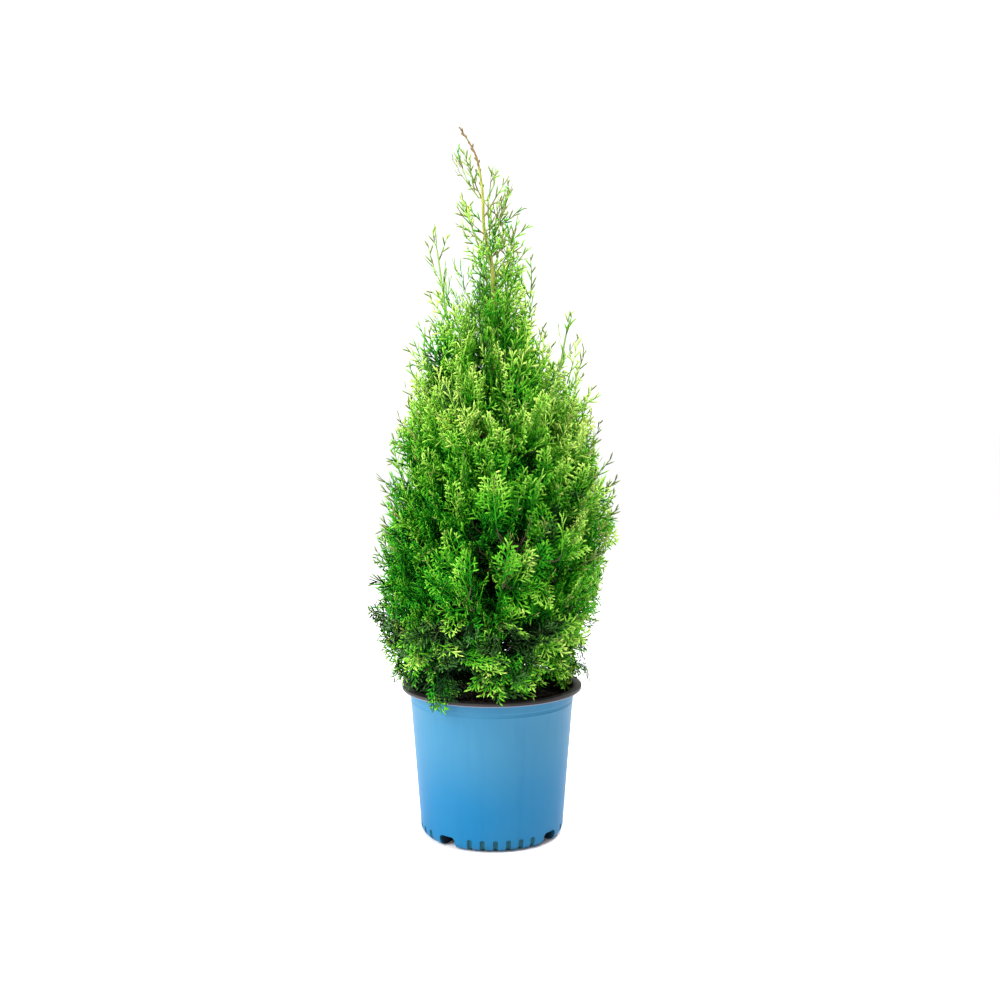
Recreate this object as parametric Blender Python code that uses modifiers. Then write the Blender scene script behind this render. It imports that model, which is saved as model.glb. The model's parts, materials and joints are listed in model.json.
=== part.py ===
"""Potted arborvitae: a young upright evergreen with flat scaly sprays, in a round nursery pot.

Metres, +Z up. The origin is the centre of the pot's flat underside, and the front of the plant looks
along -Y. The pot, the potting mix, the trunk and each bough are solids of their own. The crown is
masses of foliage, each a stem, side twigs, a slim core and toothed sprays fused into one solid that
keeps to its own space: the points nearer to its limb than to any other limb.
"""

import math
import random

import bmesh
import bpy
from mathutils import Matrix, Vector
from mathutils.bvhtree import BVHTree

# Driving dimensions
POT_HEIGHT = 0.200
LIP_RADIUS = 0.120
LIP_DEPTH = 0.0050
WALL_TOP_RADIUS = 0.1095
WALL_FOOT_RADIUS = 0.0955
UNDERSIDE_RADIUS = 0.0850
WALL = 0.0016
FOOT_WALL = 0.0046
FLOOR = 0.0024
CORNER_HEIGHT = 0.013
BAND_HEIGHT = 0.184
BAND_STEP = 0.0008
POT_SIDES = 38
SOIL_EDGE_HEIGHT = 0.176
SOIL_CROWN_HEIGHT = 0.184
PLANT_HEIGHT = 0.930
GAP = 0.0003

# Moulding of the pot's foot: 32 places round it, where two in every eight make a drain notch
FLUTE_PLACES = 32
FLUTES_PER_QUARTER = FLUTE_PLACES // 4
FLUTE_STEP = 2 * math.pi / FLUTE_PLACES
FLUTE_WIDTH = 0.0052
FLUTE_LENGTH = 0.0120
FLUTE_FLOOR = 0.0004
FLUTE_CUTTER_DEPTH = 0.010
FRONT = -math.pi / 2
FLUTE_TURN = math.radians(3)
FLUTES_IN_GROUP = range(-1, FLUTES_PER_QUARTER - 3)
NOTCH_PLACE = FLUTES_PER_QUARTER / 2 + 0.5
NOTCH_WIDTH = 0.024
NOTCH_HEIGHT = 0.0105
NOTCH_INNER_RADIUS = 0.078

# Trunk: (x, y, z, radius) of its axis, from the flat cut on the mix to the leader's bent tip
TRUNK_AXIS = (
    (-0.006, 0.000, SOIL_CROWN_HEIGHT + GAP, 0.0140),
    (-0.006, 0.000, 0.200, 0.0105),
    (-0.005, 0.002, 0.260, 0.0090),
    (-0.002, 0.003, 0.380, 0.0076),
    (-0.001, 0.001, 0.506, 0.0060),
    (0.002, -0.002, 0.620, 0.0044),
    (0.004, -0.002, 0.705, 0.0032),
    (0.000, 0.000, 0.752, 0.0026),
    (-0.010, 0.001, 0.800, 0.0021),
    (-0.012, 0.001, 0.845, 0.0018),
    (-0.018, 0.000, 0.885, 0.0015),
    (-0.026, 0.000, 0.905, 0.0013),
    (-0.042, 0.000, PLANT_HEIGHT, 0.0010),
)

# Crown radius to the tips of the sprays: (height, radius on the left side, radius on the right side)
CROWN_OUTLINE = (
    (0.170, 0.124, 0.118),
    (0.192, 0.130, 0.126),
    (0.225, 0.144, 0.132),
    (0.257, 0.158, 0.138),
    (0.289, 0.174, 0.148),
    (0.355, 0.168, 0.152),
    (0.387, 0.160, 0.170),
    (0.434, 0.156, 0.176),
    (0.480, 0.156, 0.176),
    (0.530, 0.136, 0.152),
    (0.593, 0.120, 0.146),
    (0.624, 0.122, 0.118),
    (0.656, 0.121, 0.076),
    (0.719, 0.084, 0.060),
    (0.781, 0.070, 0.060),
    (0.811, 0.056, 0.064),
    (0.858, 0.046, 0.040),
    (0.889, 0.058, 0.012),
    (0.935, 0.046, 0.006),
)

# Boughs that climb the trunk in a spiral, closer together low down
BOUGH_COUNT = 18
GOLDEN_ANGLE = math.radians(137.508)
FIRST_BOUGH_ANGLE = math.radians(-90)
LOWEST_BOUGH = 0.204
HIGHEST_BOUGH = 0.590
LOWEST_TIP = 0.232
HIGHEST_TIP = 0.665
BOUGH_CROWDING = 1.30
UPPER_HEIGHT = 0.600
SPRAY_REACH = 0.066
INNERMOST_TIP = 0.36
ENTRY_SHARE = 0.38
BOUGH_SAG = 0.006
TRUNK_BEVEL = 2
BOUGH_BEVEL = 1
STEM_BEVEL = 0
BOUGH_RADIUS = 0.0040
STEM_RADIUS = 0.0022
STEM_TIP_RADIUS = 0.0014

# Side leaders: name, where the bough leaves the trunk, where its mass begins, and the stem's tip
SIDE_LEADERS = (
    ("side_left", 0.470, (-0.043, -0.004, 0.610), (-0.071, -0.006, 0.772)),
    ("side_right", 0.400, (0.066, -0.006, 0.520), (0.097, -0.008, 0.662)),
)
# Masses that sit on the trunk itself: name, kind, height, compass angle, stem's length and rise
TOP_MASSES = (
    ("shoulder_left", "shoulder", 0.650, 172, 0.066, 64),
    ("shoulder_back", "shoulder", 0.664, 82, 0.060, 66),
    ("shoulder_front", "shoulder", 0.678, -98, 0.060, 66),
    ("shoulder_right", "shoulder", 0.692, -8, 0.056, 64),
    ("throat_left", "shoulder", 0.728, 195, 0.046, 62),
    ("throat_right", "shoulder", 0.738, 15, 0.046, 58),
    ("neck_left", "top", 0.782, 175, 0.036, 62),
    ("neck_right", "top", 0.790, -20, 0.040, 56),
    ("leader_left", "top", 0.840, 180, 0.044, 62),
    ("leader_right", "top", 0.836, 0, 0.044, 74),
)

# Foliage
SPACE_MARGIN = 0.0014
LIMB_CLEARANCE = 0.0010
RIM_CLEARANCE = 0.006
RIM_OVERHANG = 0.018
SIDE_LEADER_RADIUS = 0.040
REACH_STEP = 0.004
LONGEST_REACH = 0.160
SPRAY_THICKNESS = 0.0022
CORE_SHARE = 0.62
CORE_LIMIT = 0.044
CORE_SIDES = 6
CORE_HOLLOW = 0.55
CORE_SINK = 0.006
THINNEST_CORE = 0.003
SQUAREST_EXIT = 0.35
CLEAN_JOINT = 8
MOST_CROSSINGS = 3
TWIG_RADIUS = 0.0010
TWIG_SINK = 0.0025
TRIES = 140
GOLDEN_SHARE = 0.618034
UP = Vector((0, 0, 1))
# Heights below this droop towards the rim
DROOP_HEIGHT = 0.280
DROOP = 0.40
CLIMB = 0.55
OUTWARD_PULL = 0.10
# Rings of the core along the stem: (share of the stem, fullness)
CORE_RINGS = ((0.16, 0.5), (0.46, 0.95), (0.78, 1.0), (1.0, 0.75))
# Kind of mass: number of sprays, shortest and longest, width and web of a spray, spread in degrees
FOLIAGE = {
    "dense": (8, 0.052, 0.140, 1.75, 1.2, (20, 105)),
    "upper": (8, 0.036, 0.115, 1.50, 1.1, (15, 90)),
    "side": (8, 0.036, 0.085, 1.20, 0.7, (15, 60)),
    "shoulder": (6, 0.034, 0.092, 1.35, 0.9, (12, 75)),
    "top": (5, 0.028, 0.072, 1.00, 0.5, (12, 60)),
}

# One spray of unit length: (station, length) of the fingers along its midrib, its hubs and its neck
FINGERS_LEFT = ((0.22, 0.24), (0.37, 0.27), (0.52, 0.25), (0.69, 0.19))
FINGERS_RIGHT = ((0.26, 0.25), (0.43, 0.27), (0.57, 0.23), (0.73, 0.17))
FINGER_ANGLE = math.radians(42)
LAST_NOTCH = 0.13
MIDRIB_HALF_WIDTH = 0.075
MIDRIB_TAPER = 0.35
SPRAY_SAG = 0.12
SPRAY_HUBS = (0.33, 0.63)
NECK = (0.19, 0.022)

SEED = 20


def clear_scene():
    for obj in list(bpy.data.objects):
        bpy.data.objects.remove(obj)


def new_collection(name):
    made = bpy.data.collections.new(name)
    bpy.context.scene.collection.children.link(made)
    return made


def new_material(name, colour, roughness):
    made = bpy.data.materials.new(name)
    made.use_nodes = True
    shader = made.node_tree.nodes["Principled BSDF"]
    shader.inputs["Base Color"].default_value = (*colour, 1.0)
    shader.inputs["Roughness"].default_value = roughness
    shader.inputs["Metallic"].default_value = 0.0
    return made


def object_from(name, mesh, collection, material=None):
    made = bpy.data.objects.new(name, mesh)
    if material:
        mesh.materials.clear()
        mesh.materials.append(material)
    collection.objects.link(made)
    return made


def evaluated_mesh(obj):
    """A new mesh of obj with its modifiers or curve bevel applied."""
    graph = bpy.context.evaluated_depsgraph_get()
    return bpy.data.meshes.new_from_object(obj.evaluated_get(graph))


def weld(mesh):
    bm = bmesh.new()
    bm.from_mesh(mesh)
    bmesh.ops.remove_doubles(bm, verts=bm.verts, dist=1e-6)
    bm.to_mesh(mesh)
    bm.free()


def smooth_sides(mesh):
    """Smooth shading, with sharp edges where faces meet at a real corner."""
    mesh.shade_smooth()
    mesh.set_sharp_from_angle(angle=math.radians(35))


# Paths and distances


def distance_to_segment(p, a, b):
    along = b - a
    t = max(0.0, min(1.0, (p - a).dot(along) / along.length_squared))
    return (p - a - along * t).length, t


def point_along(path, share):
    """The point a share of the way along a path."""
    lengths = [(b - a).length for a, b in zip(path, path[1:])]
    left = share * sum(lengths)
    for (a, b), length in zip(zip(path, path[1:]), lengths):
        if left <= length:
            return a.lerp(b, left / length)
        left -= length
    return path[-1].copy()


class Limb:
    """A tapering limb along a path, for measuring how far a point lies from its surface."""

    def __init__(self, path, radii):
        self.path = path
        self.radii = radii

    def axis_distance(self, p):
        return min(distance_to_segment(p, a, b)[0] for a, b in zip(self.path, self.path[1:]))

    def clearance(self, p):
        nearest = math.inf
        for i, (a, b) in enumerate(zip(self.path, self.path[1:])):
            distance, t = distance_to_segment(p, a, b)
            nearest = min(nearest, distance - self.radii[i] * (1 - t) - self.radii[i + 1] * t)
        return nearest


def trunk_at(height):
    """Axis point and radius of the trunk at a height."""
    for low, high in zip(TRUNK_AXIS, TRUNK_AXIS[1:]):
        if low[2] <= height <= high[2]:
            t = (height - low[2]) / (high[2] - low[2])
            x, y, z, radius = [a + (b - a) * t for a, b in zip(low, high)]
            return Vector((x, y, z)), radius
    raise ValueError("height is off the trunk")


def crown_radius(height, angle):
    """Radius of the crown's tips at a height, from the outline's left and right sides."""
    for low, high in zip(CROWN_OUTLINE, CROWN_OUTLINE[1:]):
        if low[0] <= height <= high[0]:
            t = (height - low[0]) / (high[0] - low[0])
            left, right = [a + (b - a) * t for a, b in zip(low[1:], high[1:])]
            return (left + right) / 2 + (right - left) / 2 * math.cos(angle)
    return 0.0


# Pot and potting mix


def turned_mesh(profile, steps):
    """The surface that a profile of (radius, height) sweeps round the Z axis."""
    mesh = bpy.data.meshes.new("profile")
    mesh.from_pydata(
        [(radius, 0, height) for radius, height in profile],
        [(i, i + 1) for i in range(len(profile) - 1)],
        [],
    )
    holder = object_from("turning", mesh, bpy.context.scene.collection)
    screw = holder.modifiers.new("Screw", "SCREW")
    screw.steps = screw.render_steps = steps
    screw.use_merge_vertices = True
    screw.merge_threshold = 1e-5
    made = evaluated_mesh(holder)
    bpy.data.objects.remove(holder)
    smooth_sides(made)
    return made


def wall_radius(height):
    """Outer radius of the pot's tapered wall at a height."""
    slope = (WALL_TOP_RADIUS - WALL_FOOT_RADIUS) / (POT_HEIGHT - LIP_DEPTH - CORNER_HEIGHT)
    return WALL_FOOT_RADIUS + slope * (height - CORNER_HEIGHT)


def pot_profile():
    """The pot's section, from its floor up inside, over the lip and down to the underside."""
    lip_bottom = POT_HEIGHT - LIP_DEPTH
    return (
        (0.0, FLOOR),
        (UNDERSIDE_RADIUS - FOOT_WALL, FLOOR),
        (WALL_FOOT_RADIUS - FOOT_WALL, CORNER_HEIGHT),
        (wall_radius(CORNER_HEIGHT * 2) - WALL, CORNER_HEIGHT * 2),
        (wall_radius(lip_bottom) - WALL, lip_bottom),
        (wall_radius(POT_HEIGHT), POT_HEIGHT),
        (LIP_RADIUS, POT_HEIGHT - 0.0006),
        (LIP_RADIUS - 0.0006, lip_bottom),
        (wall_radius(lip_bottom) + BAND_STEP, lip_bottom - 0.0010),
        (wall_radius(BAND_HEIGHT) + BAND_STEP, BAND_HEIGHT),
        (wall_radius(BAND_HEIGHT), BAND_HEIGHT - 0.0008),
        (WALL_FOOT_RADIUS, CORNER_HEIGHT),
        (WALL_FOOT_RADIUS - 0.0022, CORNER_HEIGHT * 0.42),
        (UNDERSIDE_RADIUS, 0.0),
        (0.0, 0.0),
    )


def place_cutter(name, bm, angle, cutters):
    bmesh.ops.rotate(bm, verts=bm.verts, cent=(0, 0, 0), matrix=Matrix.Rotation(angle, 3, "Z"))
    mesh = bpy.data.meshes.new(name)
    bm.to_mesh(mesh)
    bm.free()
    cutter = object_from(name, mesh, cutters)
    cutter.hide_render = True
    cutter.display_type = "WIRE"


def foot_angle(place):
    """Compass angle of a place round the foot, which may lie between two flutes."""
    return FRONT + FLUTE_TURN + place * FLUTE_STEP


def notch_cutter(index, cutters):
    """A block with an arched top that cuts a drain notch through the pot's bottom corner."""
    angle = foot_angle(index * FLUTES_PER_QUARTER + NOTCH_PLACE)
    depth = LIP_RADIUS - NOTCH_INNER_RADIUS
    bm = bmesh.new()
    bmesh.ops.create_cube(bm, size=1.0)
    bmesh.ops.scale(bm, verts=bm.verts, vec=(depth, NOTCH_WIDTH, NOTCH_HEIGHT * 2))
    top_edges = [
        e for e in bm.edges
        if all(v.co.z > 0 for v in e.verts) and abs(e.verts[0].co.y - e.verts[1].co.y) < 1e-6
    ]
    bmesh.ops.bevel(bm, geom=top_edges, offset=NOTCH_HEIGHT * 0.4, segments=2, profile=0.5,
                    affect="EDGES")
    bmesh.ops.translate(bm, verts=bm.verts, vec=(NOTCH_INNER_RADIUS + depth / 2, 0, 0))
    place_cutter(f"notch_cutter_{index}", bm, angle, cutters)


def flute_cutter(place, cutters):
    """A tilted block whose inner face lies just inside the chord of the rounded bottom corner."""
    top = Vector((WALL_FOOT_RADIUS, 0, FLUTE_LENGTH))
    foot = Vector((UNDERSIDE_RADIUS + 0.0030, 0, 0.0))
    along = (top - foot).normalized()
    out = Vector((along.z, 0, -along.x))
    turn = Matrix((out, Vector((0, 1, 0)), along)).transposed()
    bm = bmesh.new()
    bmesh.ops.create_cube(bm, size=1.0)
    size = (FLUTE_CUTTER_DEPTH, FLUTE_WIDTH, FLUTE_LENGTH * 1.5)
    bmesh.ops.scale(bm, verts=bm.verts, vec=size)
    bmesh.ops.rotate(bm, verts=bm.verts, cent=(0, 0, 0), matrix=turn)
    middle = (top + foot) / 2 + out * (FLUTE_CUTTER_DEPTH / 2 - FLUTE_FLOOR) - along * FLUTE_LENGTH / 4
    bmesh.ops.translate(bm, verts=bm.verts, vec=middle)
    place_cutter(f"flute_cutter_{place}", bm, foot_angle(place), cutters)


def make_pot(parts, cutters, material):
    pot = object_from("pot", turned_mesh(pot_profile(), POT_SIDES), parts, material)
    for index in range(4):
        notch_cutter(index, cutters)
        for step in FLUTES_IN_GROUP:
            flute_cutter(index * FLUTES_PER_QUARTER + step, cutters)
    moulding = pot.modifiers.new("Foot moulding", "BOOLEAN")
    moulding.operation = "DIFFERENCE"
    moulding.operand_type = "COLLECTION"
    moulding.collection = cutters


def make_soil(parts, material):
    """Potting mix that fills the pot to below the lip, a little higher round the trunk."""
    step = 2 * CORNER_HEIGHT
    inner = WALL + GAP
    foot = FOOT_WALL + 2 * GAP
    profile = (
        (0.0, SOIL_CROWN_HEIGHT),
        (0.045, SOIL_CROWN_HEIGHT - 0.0010),
        (wall_radius(SOIL_EDGE_HEIGHT) - inner, SOIL_EDGE_HEIGHT),
        (wall_radius(step) - inner, step),
        (UNDERSIDE_RADIUS - foot, FLOOR + GAP),
        (0.0, FLOOR + GAP),
    )
    object_from("potting_mix", turned_mesh(profile, POT_SIDES), parts, material)


# Trunk and boughs


def tube_mesh(path, radii, bevel_resolution):
    """A tapering tube along a path, with capped ends, from a curve with a bevel."""
    curve = bpy.data.curves.new("tube", "CURVE")
    curve.dimensions = "3D"
    curve.bevel_depth = 1.0
    curve.bevel_resolution = bevel_resolution
    curve.use_fill_caps = True
    curve.twist_mode = "MINIMUM"
    spline = curve.splines.new("POLY")
    spline.points.add(len(path) - 1)
    for point, place, radius in zip(spline.points, path, radii):
        point.co = (*place, 1.0)
        point.radius = radius
    holder = bpy.data.objects.new("tube", curve)
    bpy.context.scene.collection.objects.link(holder)
    mesh = evaluated_mesh(holder)
    bpy.data.objects.remove(holder)
    weld(mesh)
    smooth_sides(mesh)
    return mesh


def tapered(first, last, count):
    """Radii that fall evenly from first to last."""
    return [first + (last - first) * i / (count - 1) for i in range(count)]


def make_trunk(parts, cutters, material):
    """The trunk, and a slightly swollen copy that cuts the boughs clear of it."""
    path = [Vector(row[:3]) for row in TRUNK_AXIS]
    radii = [row[3] for row in TRUNK_AXIS]
    object_from("trunk", tube_mesh(path, radii, TRUNK_BEVEL), parts, material)
    swollen = tube_mesh(path, [radius + GAP for radius in radii], TRUNK_BEVEL)
    cutter = object_from("trunk_clearance", swollen, cutters)
    cutter.hide_render = True
    cutter.display_type = "WIRE"
    return Limb(path, radii), cutter


class Mass:
    """One mass of foliage: its limb's path from the trunk, and its own stem's path from there."""

    def __init__(self, name, kind, limb_path, stem_path):
        self.name = name
        self.kind = kind
        self.limb_path = limb_path
        self.stem_path = stem_path
        self.has_bough = kind in ("dense", "upper", "side")
        axis = [*limb_path, *stem_path[1:]]
        self.skeleton = Limb(axis, [0.0] * len(axis))


def compass(angle):
    return Vector((math.cos(angle), math.sin(angle), 0))


def spiral_mass(index):
    """The bough and stem of one place on the spiral. Low boughs spread, high ones climb."""
    share = index / (BOUGH_COUNT - 1)
    rise = share**BOUGH_CROWDING
    angle = FIRST_BOUGH_ANGLE + index * GOLDEN_ANGLE
    foot, _ = trunk_at(LOWEST_BOUGH + (HIGHEST_BOUGH - LOWEST_BOUGH) * rise)
    tip_height = LOWEST_TIP + (HIGHEST_TIP - LOWEST_TIP) * rise
    reach = crown_radius(tip_height, angle)
    tip_radius = max(INNERMOST_TIP * reach, reach - SPRAY_REACH)
    tip = compass(angle) * tip_radius + Vector((0, 0, tip_height))
    sag = Vector((0, 0, -BOUGH_SAG))
    entry = foot.lerp(tip, ENTRY_SHARE) + compass(angle) * 0.004 + sag * share
    middle = foot.lerp(entry, 0.5) + sag * share / 3
    half = entry.lerp(tip, 0.5) + sag * (share * 1.3 - 0.6)
    kind = "upper" if tip_height > UPPER_HEIGHT else "dense"
    return Mass(f"mass_{index + 1:02d}", kind, [foot, middle, entry], [entry, half, tip])


def side_mass(name, foot_height, entry, tip):
    """A side leader: a limb that bows outwards and then climbs."""
    foot, _ = trunk_at(foot_height)
    entry, tip = Vector(entry), Vector(tip)
    outward = Vector((math.copysign(1.0, entry.x), 0, 0))
    middle = foot.lerp(entry, 0.5) + outward * 0.012 - Vector((0, 0, 0.020))
    half = entry.lerp(tip, 0.5) + outward * 0.003
    return Mass(f"mass_{name}", "side", [foot, middle, entry], [entry, half, tip])


def top_mass(name, kind, height, degrees, length, rise):
    """A mass whose stem leaves the trunk square and then climbs beside it."""
    foot, radius = trunk_at(height)
    lean = (trunk_at(height + 0.004)[0] - trunk_at(height - 0.004)[0]).normalized()
    outward = compass(math.radians(degrees))
    outward = (outward - lean * outward.dot(lean)).normalized()
    start = foot + outward * (radius + GAP)
    elbow = start + outward * STEM_RADIUS * 1.5
    climb = math.radians(rise)
    tip = elbow + (outward * math.cos(climb) + Vector((0, 0, math.sin(climb)))) * length
    half = elbow.lerp(tip, 0.5) + outward * 0.004
    return Mass(f"mass_{name}", kind, [foot, start], [start, elbow, half, tip])


def all_masses():
    masses = [spiral_mass(i) for i in range(BOUGH_COUNT)]
    masses += [side_mass(*row) for row in SIDE_LEADERS]
    masses += [top_mass(*row) for row in TOP_MASSES]
    return masses


def make_bough(mass, parts, trunk_cutter, material):
    """A limb from the trunk to its mass, whose foot is cut to the trunk's round with a small gap."""
    name = mass.name.replace("mass", "bough")
    radii = tapered(BOUGH_RADIUS, STEM_RADIUS, len(mass.limb_path))
    bough = object_from(name, tube_mesh(mass.limb_path, radii, BOUGH_BEVEL), parts, material)
    cut = bough.modifiers.new("Trunk clearance", "BOOLEAN")
    cut.operation = "DIFFERENCE"
    cut.object = trunk_cutter
    return Limb(mass.limb_path, radii)


# Foliage


class Space:
    """The room of one mass: nearest to its own limb, inside the crown, clear of limbs and pot."""

    def __init__(self, mass, masses, limbs):
        self.mass = mass
        self.others = [m for m in masses if m is not mass]
        self.limbs = limbs

    def holds(self, p):
        radius = math.hypot(p.x, p.y)
        own = self.mass.skeleton.axis_distance(p)
        in_crown = radius < crown_radius(p.z, math.atan2(p.y, p.x)) and p.z < PLANT_HEIGHT
        in_leader = self.mass.kind == "side" and own < SIDE_LEADER_RADIUS
        if not (in_crown or in_leader):
            return False
        inside_pot = radius < WALL_TOP_RADIUS - RIM_CLEARANCE and p.z > SOIL_CROWN_HEIGHT + 0.002
        outside_pot = radius > LIP_RADIUS + 0.002 and p.z > POT_HEIGHT - RIM_OVERHANG
        if p.z < POT_HEIGHT + 0.002 and not (inside_pot or outside_pot):
            return False
        if any(other.skeleton.axis_distance(p) < own + SPACE_MARGIN for other in self.others):
            return False
        return all(limb.clearance(p) > LIMB_CLEARANCE for limb in self.limbs)

    def reach(self, start, direction, limit):
        """How far a line can run from start before it leaves the space."""
        run = 0.0
        while run < limit and self.holds(start + direction * (run + REACH_STEP)):
            run += REACH_STEP
        return run


def frame_of(direction, facing, roll):
    """Side and normal of something that grows along direction and turns its face towards facing."""
    normal = facing - direction * facing.dot(direction)
    if normal.length < 1e-3:
        normal = direction.orthogonal()
    normal.normalize()
    normal.rotate(Matrix.Rotation(roll, 3, direction))
    return normal.cross(direction).normalized(), normal


class Spray:
    """A flat toothed spray: fingers leave a midrib whose two hubs stand proud on both faces."""

    def __init__(self, root, direction, facing, roll, length, curl, width, web):
        side, normal = frame_of(direction, facing, roll)

        def place(forward, across):
            bend = normal * (curl * forward * forward - SPRAY_SAG * abs(across))
            return root + (direction * forward + side * across * width + bend) * length

        def edge(sign, fingers):
            """Tips and notches of one side, each with the hub that its faces share."""
            points = []
            for i, (station, reach) in enumerate(fingers):
                hub = i // 2
                forward = station + reach * math.cos(FINGER_ANGLE)
                across = reach * math.sin(FINGER_ANGLE)
                notch = fingers[i + 1][0] if i < len(fingers) - 1 else station + LAST_NOTCH
                web_width = MIDRIB_HALF_WIDTH * web * (1.0 - MIDRIB_TAPER * notch)
                points.append((place(forward, sign * across), hub))
                points.append((place(notch, sign * web_width), hub))
            return points

        ring = [(place(0.0, 0.0), 0), (place(NECK[0], -NECK[1]), 0)]
        ring += edge(-1, FINGERS_LEFT)
        ring.append((place(1.0, 0.0), 1))
        ring += reversed(edge(1, FINGERS_RIGHT))
        ring.append((place(NECK[0], NECK[1]), 0))
        self.outline = [point for point, _ in ring]
        self.owners = [hub for _, hub in ring]
        proud = normal * (SPRAY_THICKNESS / 2)
        self.hubs = [place(share, 0.0) for share in SPRAY_HUBS]
        self.ridge = [hub + proud for hub in self.hubs] + [hub - proud for hub in self.hubs]

    def shell(self):
        """Vertices and triangles of the closed spray: a fan round each hub, on both faces."""
        count = len(self.outline)
        triangles = []
        for i in range(count):
            j = (i + 1) % count
            first, second = self.owners[i], self.owners[j]
            for order, hub in ((1, count), (-1, count + 2)):
                new = [(i, j, hub + max(first, second))]
                if first < second:
                    new.append((hub + 1, hub, i))
                elif first > second:
                    new.append((hub, hub + 1, j))
                triangles += [corners[::order] for corners in new]
        return [*self.outline, *self.ridge], triangles

    def tests(self):
        """Points that all have to lie in the mass's space."""
        halfway = [self.hubs[owner].lerp(p, 0.5) for p, owner in zip(self.outline, self.owners)]
        return [*self.outline[1:], *self.ridge, *halfway[1:]]


def mesh_from(name, vertices, faces):
    mesh = bpy.data.meshes.new(name)
    mesh.from_pydata(vertices, [], faces)
    bm = bmesh.new()
    bm.from_mesh(mesh)
    bmesh.ops.recalc_face_normals(bm, faces=bm.faces)
    bm.to_mesh(mesh)
    bm.free()
    return mesh


def twig_mesh(start, end):
    """A straight three-sided twig."""
    along = end - start
    turn = along.to_track_quat("Z", "Y").to_matrix().to_4x4()
    place = Matrix.Translation((start + end) / 2) @ turn
    bm = bmesh.new()
    bmesh.ops.create_cone(bm, cap_ends=True, segments=3, radius1=TWIG_RADIUS, radius2=TWIG_RADIUS,
                          depth=along.length, matrix=place)
    mesh = bpy.data.meshes.new("twig")
    bm.to_mesh(mesh)
    bm.free()
    return mesh


def core_shell(space, stem, rng):
    """A ragged faceted body round the stem that takes a set share of the room round it."""
    axis = (stem[-1] - stem[0]).normalized()
    side, normal = frame_of(axis, UP, 0.0)
    limit = CORE_LIMIT / CORE_SHARE
    vertices = [point_along(stem, 0.05)]
    for level, (share, fullness) in enumerate(CORE_RINGS):
        centre = point_along(stem, share)
        for i in range(CORE_SIDES):
            angle = 2 * math.pi * (i + 0.5 * (level % 2)) / CORE_SIDES
            way = side * math.cos(angle) + normal * math.sin(angle)
            ragged = rng.uniform(0.85, 1.0) * (CORE_HOLLOW if (i + level // 2) % 2 else 1.0)
            room = space.reach(centre, way, limit) * CORE_SHARE * fullness * ragged
            vertices.append(centre + way * max(THINNEST_CORE, room))
    ahead = space.reach(stem[-1], axis, limit) * CORE_SHARE
    vertices.append(stem[-1] + axis * max(THINNEST_CORE, ahead))
    last = len(vertices) - 1
    triangles = []
    for i in range(CORE_SIDES):
        j = (i + 1) % CORE_SIDES
        triangles.append((0, 1 + j, 1 + i))
        triangles.append((last, last - CORE_SIDES + i, last - CORE_SIDES + j))
        for level in range(len(CORE_RINGS) - 1):
            low = 1 + level * CORE_SIDES
            high = low + CORE_SIDES
            if level % 2:
                triangles += [(low + i, high + j, high + i), (low + i, low + j, high + j)]
            else:
                triangles += [(low + i, low + j, high + i), (low + j, high + j, high + i)]
    return vertices, triangles


def spray_ways(space, stem, kind, core_tree, rng):
    """Places on the stem and ways for sprays, turned by the golden angle, the roomiest first."""
    _, _, longest, _, _, spreads = FOLIAGE[kind]
    droop = DROOP if stem[-1].z < DROOP_HEIGHT else 0.0
    ways = []
    for turn in range(TRIES):
        share = 0.12 + 0.88 * ((turn * GOLDEN_SHARE + 0.5) % 1.0)
        root = point_along(stem, share)
        ahead = (point_along(stem, min(1.0, share + 0.1)) - point_along(stem, share - 0.1)).normalized()
        side, _ = frame_of(ahead, UP, turn * GOLDEN_ANGLE + rng.uniform(-0.3, 0.3))
        spread = math.radians(rng.uniform(*spreads)) * (1.1 - 0.3 * share)
        outward = Vector((root.x, root.y, 0)).normalized()
        way = ahead * math.cos(spread) + side * math.sin(spread)
        way = (way + outward * OUTWARD_PULL + UP * (CLIMB - droop)).normalized()
        roll = rng.gauss(0, 0.6)
        curl = rng.uniform(-0.10, 0.16)
        room = space.reach(root, way, LONGEST_REACH)
        begin = 0.0
        if core_tree:
            _, slope, _, inside = core_tree.ray_cast(root, way)
            if inside is None or slope.dot(way) < SQUAREST_EXIT:
                continue
            begin = max(0.0, inside - CORE_SINK)
        length = min(longest, room - begin) * rng.uniform(0.86, 1.0)
        ways.append((length, room, begin, root, way, outward, roll, curl))
    ways.sort(key=lambda item: -item[0])
    return ways


def grow_sprays(space, stem, kind, core, rng):
    """Side twigs and sprays by a seeded rule. One that leaves the space or meets another is skipped."""
    count, shortest, _, width, web, _ = FOLIAGE[kind]
    core_tree = BVHTree.FromPolygons(*core) if core else None
    twigs, sprays, trees = [], [], []
    ways = spray_ways(space, stem, kind, core_tree, rng)
    for length, room, begin, root, way, facing, roll, curl in ways:
        if len(sprays) == count:
            break
        while length > shortest:
            offset = begin if core else max(0.0, room - length - 0.001)
            spray = Spray(root + way * offset, way, facing, roll, length, curl, width, web)
            tree = BVHTree.FromPolygons(*spray.shell())
            crossings = sum(len(tree.overlap(other)) for other in trees)
            if core:
                crossings += max(0, len(tree.overlap(core_tree)) - CLEAN_JOINT)
            if crossings < MOST_CROSSINGS and all(space.holds(p) for p in spray.tests()):
                sprays.append(spray)
                trees.append(tree)
                if offset > TWIG_SINK:
                    twigs.append((root, root + way * (offset + TWIG_SINK)))
                break
            length *= 0.88
    return twigs, sprays


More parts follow.
